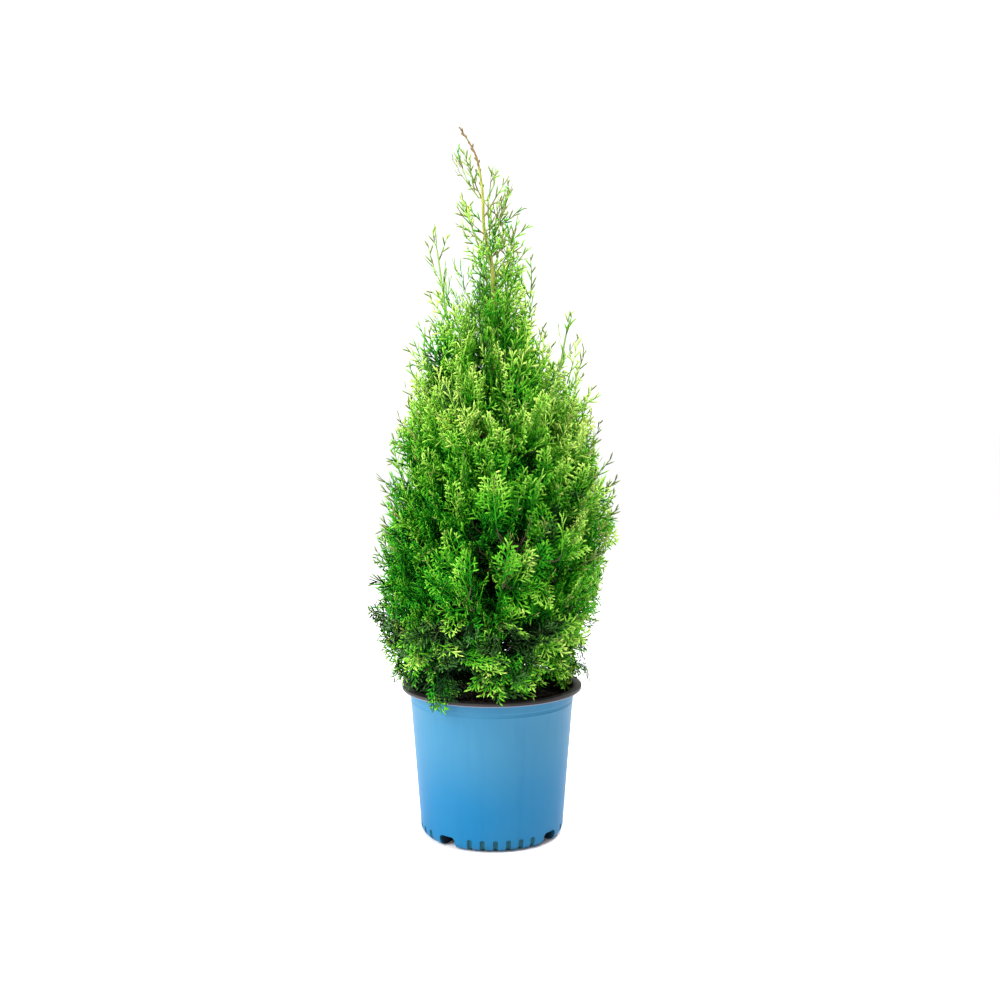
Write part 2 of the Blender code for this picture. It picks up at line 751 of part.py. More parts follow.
def largest_shell(mesh):
    """Keeps the one closed shell with the most volume: loose scraps and sealed hollows are dropped."""
    bm = bmesh.new()
    bm.from_mesh(mesh)
    bmesh.ops.triangulate(bm, faces=bm.faces)
    unseen = set(bm.faces)
    shells = []
    while unseen:
        todo = [unseen.pop()]
        shell = set(todo)
        while todo:
            for edge in todo.pop().edges:
                for face in edge.link_faces:
                    if face in unseen:
                        unseen.remove(face)
                        shell.add(face)
                        todo.append(face)
        volume = sum(f.verts[0].co.dot(f.verts[1].co.cross(f.verts[2].co)) for f in shell) / 6
        shells.append((volume, shell))
    keep = max(shells, key=lambda s: s[0])[1]
    bmesh.ops.delete(bm, geom=[f for f in bm.faces if f not in keep], context="FACES")
    bm.to_mesh(mesh)
    bm.free()


def make_mass(mass, space, parts, material, rng):
    """Joins one mass's stem, twigs, core and sprays into one closed solid."""
    stem = list(mass.stem_path)
    if mass.has_bough:
        onward = (mass.limb_path[-1] - mass.limb_path[-2]).normalized()
        stem[:1] = [stem[0] + onward * GAP, stem[0] + onward * STEM_RADIUS * 2]
    pieces = new_collection("pieces")
    core = core_shell(space, stem, rng) if mass.kind in ("dense", "upper") else None
    if core:
        object_from("core", mesh_from("core", *core), pieces)
    twigs, sprays = grow_sprays(space, stem, mass.kind, core, rng)
    for start, end in twigs:
        object_from("twig", twig_mesh(start, end), pieces)
    for spray in sprays:
        object_from("spray", mesh_from("spray", *spray.shell()), pieces)
    radii = tapered(STEM_RADIUS, STEM_TIP_RADIUS, len(stem))
    base = object_from(mass.name, tube_mesh(stem, radii, STEM_BEVEL), parts)
    join = base.modifiers.new("Join", "BOOLEAN")
    join.operation = "UNION"
    join.operand_type = "COLLECTION"
    join.collection = pieces
    fused = evaluated_mesh(base)
    base.modifiers.remove(join)
    for piece in list(pieces.objects):
        bpy.data.objects.remove(piece)
    bpy.data.collections.remove(pieces)
    largest_shell(fused)
    fused.materials.clear()
    fused.materials.append(material)
    base.data = fused


def main():
    clear_scene()
    parts = new_collection("potted_arborvitae")
    foot_cutters = new_collection("foot_cutters")
    trunk_cutters = new_collection("trunk_cutters")
    blue = new_material("pot_blue", (0.090, 0.340, 0.600), 0.38)
    earth = new_material("potting_mix", (0.035, 0.024, 0.017), 0.95)
    bark = new_material("bark", (0.190, 0.100, 0.060), 0.85)
    leaf = new_material("foliage", (0.075, 0.250, 0.022), 0.60)
    make_pot(parts, foot_cutters, blue)
    make_soil(parts, earth)
    trunk, trunk_cutter = make_trunk(parts, trunk_cutters, bark)
    masses = all_masses()
    boughs = [make_bough(mass, parts, trunk_cutter, bark) for mass in masses if mass.has_bough]
    for number, mass in enumerate(masses):
        space = Space(mass, masses, [trunk, *boughs])
        make_mass(mass, space, parts, leaf, random.Random(SEED + number))


main()
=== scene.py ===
"""Looks of the potted arborvitae: blue nursery pot, potting mix, bark, twigs and fans of scaly foliage.

Metres, +Z up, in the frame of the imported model. The camera looks along +Y at the plant's front.
"""

import json
import random
from collections import namedtuple
from math import atan2, copysign, cos, degrees, exp, pi, radians, sin, sqrt

import bpy
import numpy as np
from mathutils import Matrix, Vector, noise

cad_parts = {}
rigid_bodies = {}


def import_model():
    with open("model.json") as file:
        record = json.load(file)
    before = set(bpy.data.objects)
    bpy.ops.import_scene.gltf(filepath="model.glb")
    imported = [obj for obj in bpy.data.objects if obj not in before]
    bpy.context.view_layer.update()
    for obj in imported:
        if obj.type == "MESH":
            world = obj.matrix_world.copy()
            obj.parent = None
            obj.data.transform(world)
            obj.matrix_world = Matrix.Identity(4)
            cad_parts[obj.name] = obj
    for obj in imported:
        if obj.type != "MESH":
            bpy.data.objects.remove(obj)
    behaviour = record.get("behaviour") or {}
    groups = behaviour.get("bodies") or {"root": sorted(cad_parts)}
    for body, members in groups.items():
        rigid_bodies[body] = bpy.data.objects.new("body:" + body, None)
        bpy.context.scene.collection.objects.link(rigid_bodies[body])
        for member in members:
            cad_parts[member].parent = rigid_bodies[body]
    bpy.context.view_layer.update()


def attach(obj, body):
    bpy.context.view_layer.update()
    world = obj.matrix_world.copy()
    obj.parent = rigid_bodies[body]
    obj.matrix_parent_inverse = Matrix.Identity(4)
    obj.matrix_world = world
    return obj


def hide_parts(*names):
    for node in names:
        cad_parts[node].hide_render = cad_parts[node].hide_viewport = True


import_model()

# The part's own sizes, as its source names them
POT_HEIGHT = 0.2
LIP_RADIUS = 0.12
LIP_DEPTH = 0.005
WALL_TOP_RADIUS = 0.1095
WALL_FOOT_RADIUS = 0.0955
UNDERSIDE_RADIUS = 0.085
WALL = 0.0016
CORNER_HEIGHT = 0.013
BAND_HEIGHT = 0.184
SOIL_EDGE_HEIGHT = 0.176
SOIL_CROWN_HEIGHT = 0.184
PLANT_HEIGHT = 0.93
GAP = 0.0003
FRONT = -pi / 2
WALL_SLOPE = (WALL_TOP_RADIUS - WALL_FOOT_RADIUS) / (POT_HEIGHT - LIP_DEPTH - CORNER_HEIGHT)

# How far the mix falls towards the wall, its chips, the sides of the turned forms, and the foot's moulding,
# which is finer than in the part
SOIL_FALL = 0.008
CHIP_COUNT = 260
POT_SIDES = 240
MIX_SIDES = 120
BASE_TOP = 0.0176
FLUTES_IN_GROUP = 6
FLUTE_STEP = radians(10.2)
FLUTE_TURN = radians(8.2)
FLUTE_RADIUS = 0.0046
FLUTE_STANDOFF = 0.0026
FLUTE_TOP = 0.0145
NOTCH_TURN = radians(52.6)
NOTCH_WIDTH = 0.0245
NOTCH_HEIGHT = 0.0162
NOTCH_DEPTH = 0.074
NOTCH_INNER_RADIUS = 0.046
CORNER_CENTRE = (WALL_FOOT_RADIUS - 0.0115, 0.0118)
CORNER_RADIUS = 0.0115

# Trunk: (x, y, z, radius) of its axis
TRUNK_AXIS = np.array((
    (-0.006, 0.0, SOIL_CROWN_HEIGHT + GAP, 0.014),
    (-0.006, 0.0, 0.2, 0.0105),
    (-0.005, 0.002, 0.26, 0.009),
    (-0.002, 0.003, 0.38, 0.0076),
    (-0.001, 0.001, 0.506, 0.006),
    (0.002, -0.002, 0.62, 0.0044),
    (0.004, -0.002, 0.705, 0.0032),
    (0.0, 0.0, 0.752, 0.0026),
    (-0.01, 0.001, 0.8, 0.0021),
    (-0.012, 0.001, 0.845, 0.0018),
    (-0.018, 0.0, 0.885, 0.0015),
    (-0.026, 0.0, 0.905, 0.0013),
    (-0.042, 0.0, PLANT_HEIGHT, 0.001),
))

# Crown radius to the tips of the sprays: (height, radius on the left side, radius on the right side)
CROWN_OUTLINE = np.array((
    (0.17, 0.124, 0.118),
    (0.192, 0.13, 0.126),
    (0.225, 0.144, 0.132),
    (0.257, 0.158, 0.138),
    (0.289, 0.174, 0.148),
    (0.355, 0.168, 0.152),
    (0.387, 0.16, 0.17),
    (0.434, 0.156, 0.176),
    (0.48, 0.156, 0.176),
    (0.53, 0.136, 0.152),
    (0.593, 0.12, 0.146),
    (0.624, 0.122, 0.118),
    (0.656, 0.121, 0.076),
    (0.719, 0.084, 0.06),
    (0.781, 0.07, 0.06),
    (0.811, 0.056, 0.064),
    (0.858, 0.046, 0.04),
    (0.889, 0.058, 0.012),
    (0.935, 0.046, 0.006),
))

# Boughs that climb the trunk in a spiral, closer together low down
BOUGH_COUNT = 18
GOLDEN_ANGLE = radians(137.508)
FIRST_BOUGH_ANGLE = radians(-90)
LOWEST_BOUGH = 0.204
HIGHEST_BOUGH = 0.59
LOWEST_TIP = 0.232
HIGHEST_TIP = 0.665
BOUGH_CROWDING = 1.3
UPPER_HEIGHT = 0.6
SPRAY_REACH = 0.066
INNERMOST_TIP = 0.36
ENTRY_SHARE = 0.38
BOUGH_SAG = 0.006
BOUGH_RADIUS = 0.004
STEM_RADIUS = 0.0022
STEM_TIP_RADIUS = 0.0012
TWIG_RADIUS = 0.0009
TWIG_TIP_RADIUS = 0.0006
TRUNK_SIDES = 28
TRUNK_STEPS = 24
BOUGH_SIDES = 14
BOUGH_STEPS = 14
TWIG_SIDES = 5
TRUNK_RELIEF = 0.0016
BOUGH_RELIEF = 0.0008
SIDE_LEADER_RADIUS = 0.04

# Side leaders: name, where the bough leaves the trunk, where its mass begins, and the stem's tip
SIDE_LEADERS = (
    ("side_left", 0.47, (-0.043, -0.004, 0.61), (-0.071, -0.006, 0.772)),
    ("side_right", 0.4, (0.066, -0.006, 0.52), (0.097, -0.008, 0.662)),
)
# Masses that sit on the trunk itself: name, kind, height, compass angle, stem's length and rise
TOP_MASSES = (
    ("shoulder_left", "shoulder", 0.65, 172, 0.066, 64),
    ("shoulder_back", "shoulder", 0.664, 82, 0.06, 66),
    ("shoulder_front", "shoulder", 0.678, -98, 0.06, 66),
    ("shoulder_right", "shoulder", 0.692, -8, 0.056, 64),
    ("throat_left", "shoulder", 0.728, 195, 0.046, 62),
    ("throat_right", "shoulder", 0.738, 15, 0.046, 58),
    ("neck_left", "top", 0.782, 175, 0.036, 62),
    ("neck_right", "top", 0.79, -20, 0.04, 56),
    ("leader_left", "top", 0.84, 180, 0.044, 62),
    ("leader_right", "top", 0.836, 0, 0.044, 74),
)

# How far the foliage of neighbouring masses may reach into each other, how far it keeps from the lip, how far
# it may stand out past the lip, and how far under and over the pot's top it may do so
INTERLOCK = 0.024
LIP_CLEARANCE = 0.002
RIM_REACH = 0.016
RIM_DROP = 0.018
RIM_RISE = 0.01
UP = np.array((0.0, 0.0, 1.0))
SEED = 20

# Sprays: how many, and what changes with height along the crown
SPRAY_COUNT = 640
LOWEST_SPRAY = 0.196
HIGHEST_SPRAY = 0.87
SPRAY_HEIGHTS = (0.19, 0.25, 0.32, 0.42, 0.56, 0.64, 0.72, 0.8, 0.88)
CROWDING = (1.0, 1.0, 1.0, 1.0, 1.0, 0.85, 0.6, 0.3, 0.06)
# Where the crown's dense body ends, as a share of the outline, and how much less it is on the left at the top
BODY_SHARE = (0.97, 0.96, 0.95, 0.92, 0.87, 0.81, 0.8, 0.72, 0.6)
BARE_LEFT = ((0.69, 0.75), (0.0, 0.4))
CLIMB_DEGREES = (-14, -2, 14, 34, 50, 56, 60, 62, 62)
# Slant of the crown's top: highest foliage over a place left or right of the axis
TOP_SLANT = (
    (-0.06, -0.05, -0.042, -0.03, -0.016, -0.002, 0.011, 0.024, 0.031),
    (0.888, 0.908, 0.918, 0.914, 0.902, 0.889, 0.876, 0.874, 0.85),
)
# A shallow valley down the front: heights it runs between, its half width in degrees and its depth as a share
VALLEY = (0.2, 0.58, 24.0, 0.13)
# Share of the sprays that lie on the crown like shingles, and how much those climb or hang, and swing aside
SHINGLE_SHARE = (0.75, 0.65, 0.5, 0.5, 0.5, 0.4, 0.3, 0.2, 0.1)
SHINGLE_CLIMB = (-0.5, -0.25, 0.4, 1.2, 1.7, 1.8, 1.8, 1.8, 1.8)
SHINGLE_SWING = (1.15, 1.1, 0.9, 0.65, 0.5, 0.45, 0.4, 0.4, 0.4)
SPRAY_LENGTH = (0.06, 0.068, 0.076, 0.08, 0.078, 0.07, 0.058, 0.05, 0.044)
OPEN_SHARE = (0.02, 0.04, 0.06, 0.08, 0.14, 0.3, 0.5, 0.8, 1.0)
# Open sprigs that stand out of the crown all round
SPRIG_COUNT = 230
SPRIG_CROWDING = (0.4, 0.7, 0.9, 1.0, 1.1, 1.3, 1.0, 0.3, 0.05)
SPRIG_TURN = 0.4
# Short sprays deep inside, which keep the crown from being seen through
INNER_COUNT = 110
INNER_CROWDING = (0.2, 0.4, 0.6, 0.8, 1.3, 1.4, 0.8, 0.1, 0.0)
INNER_TURN = 0.9
# Shoots of the leader: height of the foot on the trunk, and the tip
LEADER_SHOOTS = (
    (0.874, (-0.026, 0.004, 0.914)),
    (0.836, (-0.045, -0.004, 0.904)),
    (0.856, (-0.01, 0.012, 0.9)),
    (0.83, (0.0, -0.014, 0.892)),
    (0.814, (0.024, 0.006, 0.87)),
    (0.772, (0.03, -0.016, 0.846)),
    (0.762, (0.056, 0.008, 0.806)),
    (0.806, (-0.036, 0.01, 0.829)),
    (0.792, (-0.034, -0.014, 0.804)),
    (0.766, (-0.046, -0.004, 0.789)),
    (0.744, (-0.034, 0.022, 0.762)),
    (0.726, (0.052, -0.01, 0.772)),
    (0.706, (0.048, 0.02, 0.75)),
    (0.79, (-0.008, 0.036, 0.858)),
    (0.776, (0.004, -0.034, 0.822)),
    (0.748, (-0.012, -0.036, 0.806)),
    (0.76, (0.012, 0.046, 0.81)),
    (0.87, (-0.015, -0.004, 0.9)),
    (0.846, (-0.003, -0.006, 0.887)),
)
# Where the scaly tips along the bare leader begin, and the step between them
LOWEST_SCALE = 0.85
SCALE_STEP = 0.004
# Shoots of the side leaders: foot and tip
SIDE_SHOOTS = (
    ((0.098, -0.018, 0.598), (0.1175, -0.022, 0.66)),
    ((0.104, -0.008, 0.59), (0.1285, -0.01, 0.64)),
    ((0.064, -0.028, 0.604), (0.0715, -0.032, 0.666)),
    ((-0.072, -0.008, 0.738), (-0.087, -0.01, 0.778)),
    ((-0.066, -0.008, 0.7), (-0.056, -0.02, 0.742)),
)
# Clefts that show the dark inside: degrees right of the front, height, half sizes, and share left inside
CLEFTS = (
    (-7.0, 0.541, 4.5, 0.016, 0.62),
    (11.0, 0.563, 4.0, 0.024, 0.6),
    (23.0, 0.5, 3.5, 0.01, 0.66),
    (-10.0, 0.418, 4.5, 0.014, 0.6),
    (16.0, 0.405, 4.0, 0.016, 0.6),
    (-8.0, 0.371, 4.5, 0.02, 0.55),
    (-1.0, 0.331, 4.5, 0.018, 0.58),
    (12.0, 0.27, 4.0, 0.01, 0.6),
    (28.0, 0.298, 4.5, 0.01, 0.6),
    (-21.0, 0.232, 6.0, 0.01, 0.55),
    (-38.0, 0.33, 8.0, 0.014, 0.8),
    (150.0, 0.42, 6.0, 0.022, 0.6),
    (205.0, 0.33, 6.0, 0.018, 0.6),
    (100.0, 0.36, 6.0, 0.018, 0.62),
    (260.0, 0.45, 6.0, 0.02, 0.62),
)
# Fresh sprays that stand out in front: tip's x and height, its way across, up and out, length, lift of tone,
# whether it is an open sprig, and whether it lies flat
FRESH_SPRAYS = (
    (-0.001, 0.5, -0.1, 1.0, 0.06, 0.08, -0.08, False, False),
    (-0.029, 0.406, -0.05, 1.0, 0.15, 0.056, -0.08, False, False),
    (0.024, 0.408, 0.15, 1.0, 0.2, 0.056, -0.08, False, False),
    (0.091, 0.4385, 0.05, 1.0, 0.1, 0.05, 0.1, True, False),
    (0.008, 0.252, 1.0, -0.24, 0.3, 0.066, 0.12, False, True),
    (-0.04, 0.268, 0.7, -0.1, 0.5, 0.048, 0.18, False, True),
    (0.017, 0.236, 0.8, -0.3, 0.5, 0.044, 0.2, False, True),
    (0.052, 0.213, 0.7, -0.72, 0.4, 0.044, 0.12, False, False),
)
# Fronds along both sides of a twig: the step between them, and their angle to it
SIDE_FAN_STEP = 0.017
SIDE_FAN_ANGLE = radians(42)
# Sprays that hang over the lip: compass angle and height of the tip
RIM_SPRAYS = ((-127, 0.186), (-121, 0.184), (-114, 0.192), (38, 0.186), (118, 0.188), (-4, 0.206))

# The two kinds of frond, fan and open sprig: lengths that are modelled; step between the side shoots, their
# degrees to the midrib, the longest as a share of the length, the shortest, and the size under which one is
# a single finger; bare share of the midrib; and step and degrees of the fingers on a side shoot
Habit = namedtuple("Habit", "lengths spacing angle longest shortest single bare step lean")
HABITS = (
    Habit((0.026, 0.036, 0.048, 0.062, 0.078), 0.006, 43, 0.42, 0.0055, 0.0135, 0.1, 0.0036, 38),
    Habit((0.026, 0.04, 0.056, 0.074), 0.0098, 31, 0.21, 0.0085, 0.0185, 0.16, 0.008, 30),
)
VARIANTS = 5
FINGER_WIDTH = 0.0011
FINGER_RIDGE = 0.0005


def srgb(colour):
    """Linear colour of an sRGB colour in steps of 255."""
    shares = [channel / 255 for channel in colour]
    return tuple(s / 12.92 if s <= 0.04045 else ((s + 0.055) / 1.055) ** 2.4 for s in shares)


# Leaf tones from the crown's inside, in painted shade, to the fresh tips, and where one tone gives way to the
# next
LEAF_TONES = {
    "shade": (5, 70, 2),
    "deep": (16, 106, 6),
    "mid": (40, 141, 14),
    "fresh": (92, 172, 33),
    "bright": (146, 203, 70),
    "lime": (194, 228, 106),
}
TONE_LIMITS = (0.2, 0.36, 0.52, 0.7, 0.88)
ACCENTS = {
    "gold": (176, 200, 62),
    "olive": (126, 146, 68),
    "bronze": (126, 118, 66),
    "dull": (62, 108, 46),
    "murk": (14, 48, 14),
}
TWIG_TONES = ((62, 56, 30), (110, 146, 48))
# How much lighter or darker the foliage is at each height
TONE_HEIGHTS = (0.2, 0.28, 0.36, 0.45, 0.56, 0.66, 0.8)
TONE_LIFTS = (-0.08, -0.13, -0.14, -0.07, 0.22, 0.28, 0.11)
# Cloudy patches of tone, the height under which foliage may be dull, and the share of sprays with gold ends
CLOUD_SIZE = 0.055
CLOUD_STRENGTH = 0.28
DULL_BELOW = 0.3
GOLD_SHARE = 0.008


# Material helpers


class Socket:
    """A value in a material's node tree, with arithmetic that adds Math nodes."""

    def __init__(self, finish, socket):
        self.finish = finish
        self.socket = socket

    def math(self, operation, *others):
        inputs = {i + 1: other for i, other in enumerate(others)}
        return self.finish.node("ShaderNodeMath", {"operation": operation}, {0: self, **inputs})

    def reversed_math(self, operation, other):
        return self.finish.node("ShaderNodeMath", {"operation": operation}, {0: other, 1: self})

    def __add__(self, other):
        return self.math("ADD", other)

    __radd__ = __add__

    def __sub__(self, other):
        return self.math("SUBTRACT", other)

    def __rsub__(self, other):
        return self.reversed_math("SUBTRACT", other)

    def __mul__(self, other):
        return self.math("MULTIPLY", other)

    __rmul__ = __mul__

    def between(self, low, high):
        """0 below low, 1 above high, and a soft step between them."""
        ends = {"Value": self, "From Min": low, "From Max": high}
        return self.finish.node("ShaderNodeMapRange", {"interpolation_type": "SMOOTHSTEP"}, ends, "Result")


class Finish:
    """A material, or the world's sky, whose shader is fed by expressions on sockets."""

    def __init__(self, name, colour=None, shader="Principled BSDF", **values):
        group = bpy.data.worlds if shader == "Background" else bpy.data.materials
        self.made = group.new(name)
        self.made.use_nodes = True
        self.tree = self.made.node_tree
        self.shader = self.tree.nodes[shader]
        if colour:
            self.set("Base Color", (*srgb(colour), 1.0))
        for key, value in values.items():
            self.set(key.replace("_", " ").title().replace("Ior", "IOR"), value)

    def set(self, name, value, node=None):
        target = (node or self.shader).inputs[name]
        if isinstance(value, Socket):
            self.tree.links.new(value.socket, target)
        else:
            target.default_value = value

    def node(self, kind, settings=None, inputs=None, output=0):
        made = self.tree.nodes.new(kind)
        for key, value in (settings or {}).items():
            setattr(made, key, value)
        for key, value in (inputs or {}).items():
            self.set(key, value, made)
        return Socket(self, made.outputs[output])

    def place(self, kind="Object"):
        """The point on the piece, in metres, and its parts. The sky's point is the way to it."""
        point = self.node("ShaderNodeTexCoord", output=kind)
        return point, [self.node("ShaderNodeSeparateXYZ", inputs={0: point}, output=i) for i in range(3)]

    def stretched(self, point, scale):
        return self.node("ShaderNodeMapping", inputs={"Vector": point, "Scale": scale})

    def noise(self, point, scale, detail=3.0):
        return self.node("ShaderNodeTexNoise", inputs={"Vector": point, "Scale": scale, "Detail": detail})

    def mix(self, share, first, second):
        """A colour that goes from first to second as share goes from 0 to 1."""
        first, second = [c if isinstance(c, Socket) else (*srgb(c), 1.0) for c in (first, second)]
        return self.node("ShaderNodeMix", {"data_type": "RGBA"}, {0: share, 6: first, 7: second}, 2)

    def bump(self, height, distance, strength=1.0):
        inputs = {"Height": height, "Distance": distance, "Strength": strength}
        return self.node("ShaderNodeBump", inputs=inputs)


# Modelling helpers


def only(obj):
    """Selects obj alone and makes it active."""
    bpy.ops.object.select_all(action="DESELECT")
    obj.select_set(True)
    bpy.context.view_layer.objects.active = obj


def linked(name, data):
    """A new object in the scene."""
    made = bpy.data.objects.new(name, data)
    bpy.context.scene.collection.objects.link(made)
    return made


def added(primitive, **settings):
    """A new primitive, with nothing else selected."""
    bpy.ops.object.select_all(action="DESELECT")
    primitive(**settings)
    return bpy.context.object


def apply_place():
    bpy.ops.object.transform_apply(location=True, rotation=True, scale=True)


def edit(obj):
    only(obj)
    bpy.ops.object.mode_set(mode="EDIT")
    bpy.ops.mesh.select_all(action="SELECT")


def leave_edit():
    bpy.ops.object.mode_set(mode="OBJECT")


def extrude(step):
    bpy.ops.mesh.extrude_region_move(TRANSFORM_OT_translate={"value": step})


def close_form():
    """Merges what meets and turns all faces outwards."""
    bpy.ops.mesh.select_all(action="SELECT")
    bpy.ops.mesh.remove_doubles(threshold=1e-6)
    bpy.ops.mesh.normals_make_consistent(inside=False)
    leave_edit()


def settle(obj, name, angle=40):
    """Names a finished piece, puts its place into its mesh and shades it smooth up to real corners."""
    only(obj)
    apply_place()
    bpy.ops.object.shade_smooth_by_angle(angle=radians(angle))
    obj.name = name
    obj.data.name = name
    return obj


def apply_modifiers(obj):
    only(obj)
    for modifier in list(obj.modifiers):
        bpy.ops.object.modifier_apply(modifier=modifier.name)


def turned(profile, steps):
    """A closed form: a line of (radius, height) points, extruded from one vertex and spun round Z."""
    obj = added(bpy.ops.mesh.primitive_plane_add, size=0.01)
    edit(obj)
    bpy.ops.mesh.merge(type="CENTER")
    bpy.ops.transform.translate(value=(profile[0][0], 0, profile[0][1]))
    for (r0, z0), (r1, z1) in zip(profile, profile[1:]):
        extrude((r1 - r0, 0, z1 - z0))
    bpy.ops.mesh.select_all(action="SELECT")
    bpy.ops.mesh.spin(steps=steps, angle=2 * pi, center=(0, 0, 0), axis=(0, 0, 1))
    close_form()
    return obj


def disc(centre, way, up, radius, sides):
    """A flat disc that faces along way, in edit mode."""
    obj = added(bpy.ops.mesh.primitive_circle_add, vertices=sides, radius=radius, fill_type="NGON")
    obj.matrix_world = Matrix.Translation(centre) @ way.to_track_quat("Z", up).to_matrix().to_4x4()
    apply_place()
    edit(obj)
    return obj


def displaced(obj, name, size, depth, strength, middle):
    """A modifier that raises and lowers obj's surface by a cloudy pattern."""
    clouds = bpy.data.textures.new(name, "CLOUDS")
    clouds.noise_scale = size
    clouds.noise_depth = depth
    lift = obj.modifiers.new(name, "DISPLACE")
    lift.texture = clouds
    lift.strength = strength
    lift.mid_level = middle
    return lift


def arc(centre, radius, first, last, count):
    """Points on a round corner of a profile, between two angles in degrees."""
    angles = [radians(first + (last - first) * i / (count - 1)) for i in range(count)]
    return [(centre[0] + radius * cos(a), centre[1] + radius * sin(a)) for a in angles]


def join(objects):
    bpy.ops.object.select_all(action="DESELECT")
    for obj in objects:
        obj.select_set(True)
    bpy.context.view_layer.objects.active = objects[0]
    bpy.ops.object.join()
    return objects[0]


def finish_piece(obj, material, slot, *nodes):
    """Gives a piece its material, the body it rides on and the nodes it stands for. The slot is not used."""
    obj.data.materials.clear()
    obj.data.materials.append(material)
    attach(obj, "root")
    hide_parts(*nodes)
    return obj


# Pot


def wall_radius(height):
    """Outer radius of the pot's tapered wall at a height."""
    return WALL_FOOT_RADIUS + WALL_SLOPE * (height - CORNER_HEIGHT)


def ring(height, size, proud):
    """A low moulded ring round the wall."""
    return [
        (wall_radius(height + size), height + size),
        (wall_radius(height) + proud, height + size * 0.35),
        (wall_radius(height) + proud, height - size * 0.35),
        (wall_radius(height - size), height - size),
    ]


def pot_section():
    """Inside floor, inner wall, rolled lip, outer wall with its rings, rounded foot and underside."""
    lip_bottom = POT_HEIGHT - LIP_DEPTH
    section = [(0.0, BASE_TOP), (wall_radius(BASE_TOP) - WALL, BASE_TOP)]
    section += [(wall_radius(0.026) - WALL, 0.026), (wall_radius(lip_bottom) - WALL, lip_bottom - 0.004)]
    section += arc((wall_radius(POT_HEIGHT) + 0.0008, POT_HEIGHT - 0.0024), 0.0024, 180, 90, 6)
    section += arc((LIP_RADIUS - 0.0012, POT_HEIGHT - 0.0012), 0.0012, 80, 0, 6)
    section += arc((LIP_RADIUS - 0.0009, lip_bottom + 0.0008), 0.0008, 0, -90, 5)
    section += [(LIP_RADIUS - 0.002, lip_bottom + 0.0006), (WALL_TOP_RADIUS + 0.0034, lip_bottom + 0.0004)]
    section += arc((wall_radius(lip_bottom) + 0.0032, lip_bottom - 0.0022), 0.0024, 95, 180, 6)
    section += [(wall_radius(BAND_HEIGHT) + 0.0008, BAND_HEIGHT)]
    section += [(wall_radius(BAND_HEIGHT), BAND_HEIGHT - 0.001)]
    section += ring(BAND_HEIGHT - 0.006, 0.0009, 0.00035)
    section += [(wall_radius(z), z) for z in (0.15, 0.12, 0.09, 0.06, 0.035, 0.02)]
    section += [(WALL_FOOT_RADIUS, CORNER_HEIGHT)]
    section += arc(CORNER_CENTRE, CORNER_RADIUS, 0, -78, 9)
    section += [(UNDERSIDE_RADIUS - 0.001, 0.0), (UNDERSIDE_RADIUS - 0.01, 0.0)]
    section += [(UNDERSIDE_RADIUS - 0.013, 0.0008), (0.0, 0.0008)]
    return section


def foot_way(turn):
    """The way out of the pot at an angle from its front."""
    return Vector((cos(FRONT + turn), sin(FRONT + turn), 0))


def notch_cutter(turn):
    """A block with rounded corners that cuts a drain channel from under the pot out through its foot."""
    cutter = added(bpy.ops.mesh.primitive_cube_add, size=1.0)
    cutter.scale = (NOTCH_DEPTH, NOTCH_WIDTH, NOTCH_HEIGHT * 2)
    apply_place()
    soften = cutter.modifiers.new("Soft corners", "BEVEL")
    soften.width = 0.005
    soften.segments = 4
    soften.limit_method = "ANGLE"
    apply_modifiers(cutter)
    way = foot_way(turn)
    cutter.location = way * (NOTCH_INNER_RADIUS + NOTCH_DEPTH / 2)
    cutter.rotation_euler = (0, 0, atan2(way.y, way.x))
    return cutter


def flute_cutter(turn):
    """A round bar that follows the foot's corner up onto the wall, and leaves the wall at its top."""
    way = foot_way(turn)
    centre = way * CORNER_CENTRE[0] + Vector((0, 0, CORNER_CENTRE[1]))
    start = centre - Vector((0, 0, CORNER_RADIUS + FLUTE_STANDOFF))
    cutter = disc(start, way, "Y", FLUTE_RADIUS, 12)
    swing = Vector((0, 0, 1)).cross(way)
    bpy.ops.mesh.spin(steps=10, angle=radians(90), center=centre, axis=swing)
    extrude((0, 0, FLUTE_TOP - CORNER_CENTRE[1]))
    extrude(way * 0.003 + Vector((0, 0, 0.0034)))
    close_form()
    return cutter


def make_pot():
    pot = turned(pot_section(), POT_SIDES)
    cutters = []
    for quarter in range(4):
        quarter_turn = radians(90) * quarter
        cutters.append(notch_cutter(quarter_turn + NOTCH_TURN))
        for place in range(FLUTES_IN_GROUP):
            step = place - (FLUTES_IN_GROUP - 1) / 2
            cutters.append(flute_cutter(quarter_turn + FLUTE_TURN + step * FLUTE_STEP))
    moulds = join(cutters)
    only(moulds)
    apply_place()
    carve = pot.modifiers.new("Foot moulding", "BOOLEAN")
    carve.operation = "DIFFERENCE"
    carve.object = moulds
    carve.use_self = True
    apply_modifiers(pot)
    bpy.data.objects.remove(moulds)
    settle(pot, "pot_shell", 32)
    return finish_piece(pot, pot_finish(), "pot", "pot")


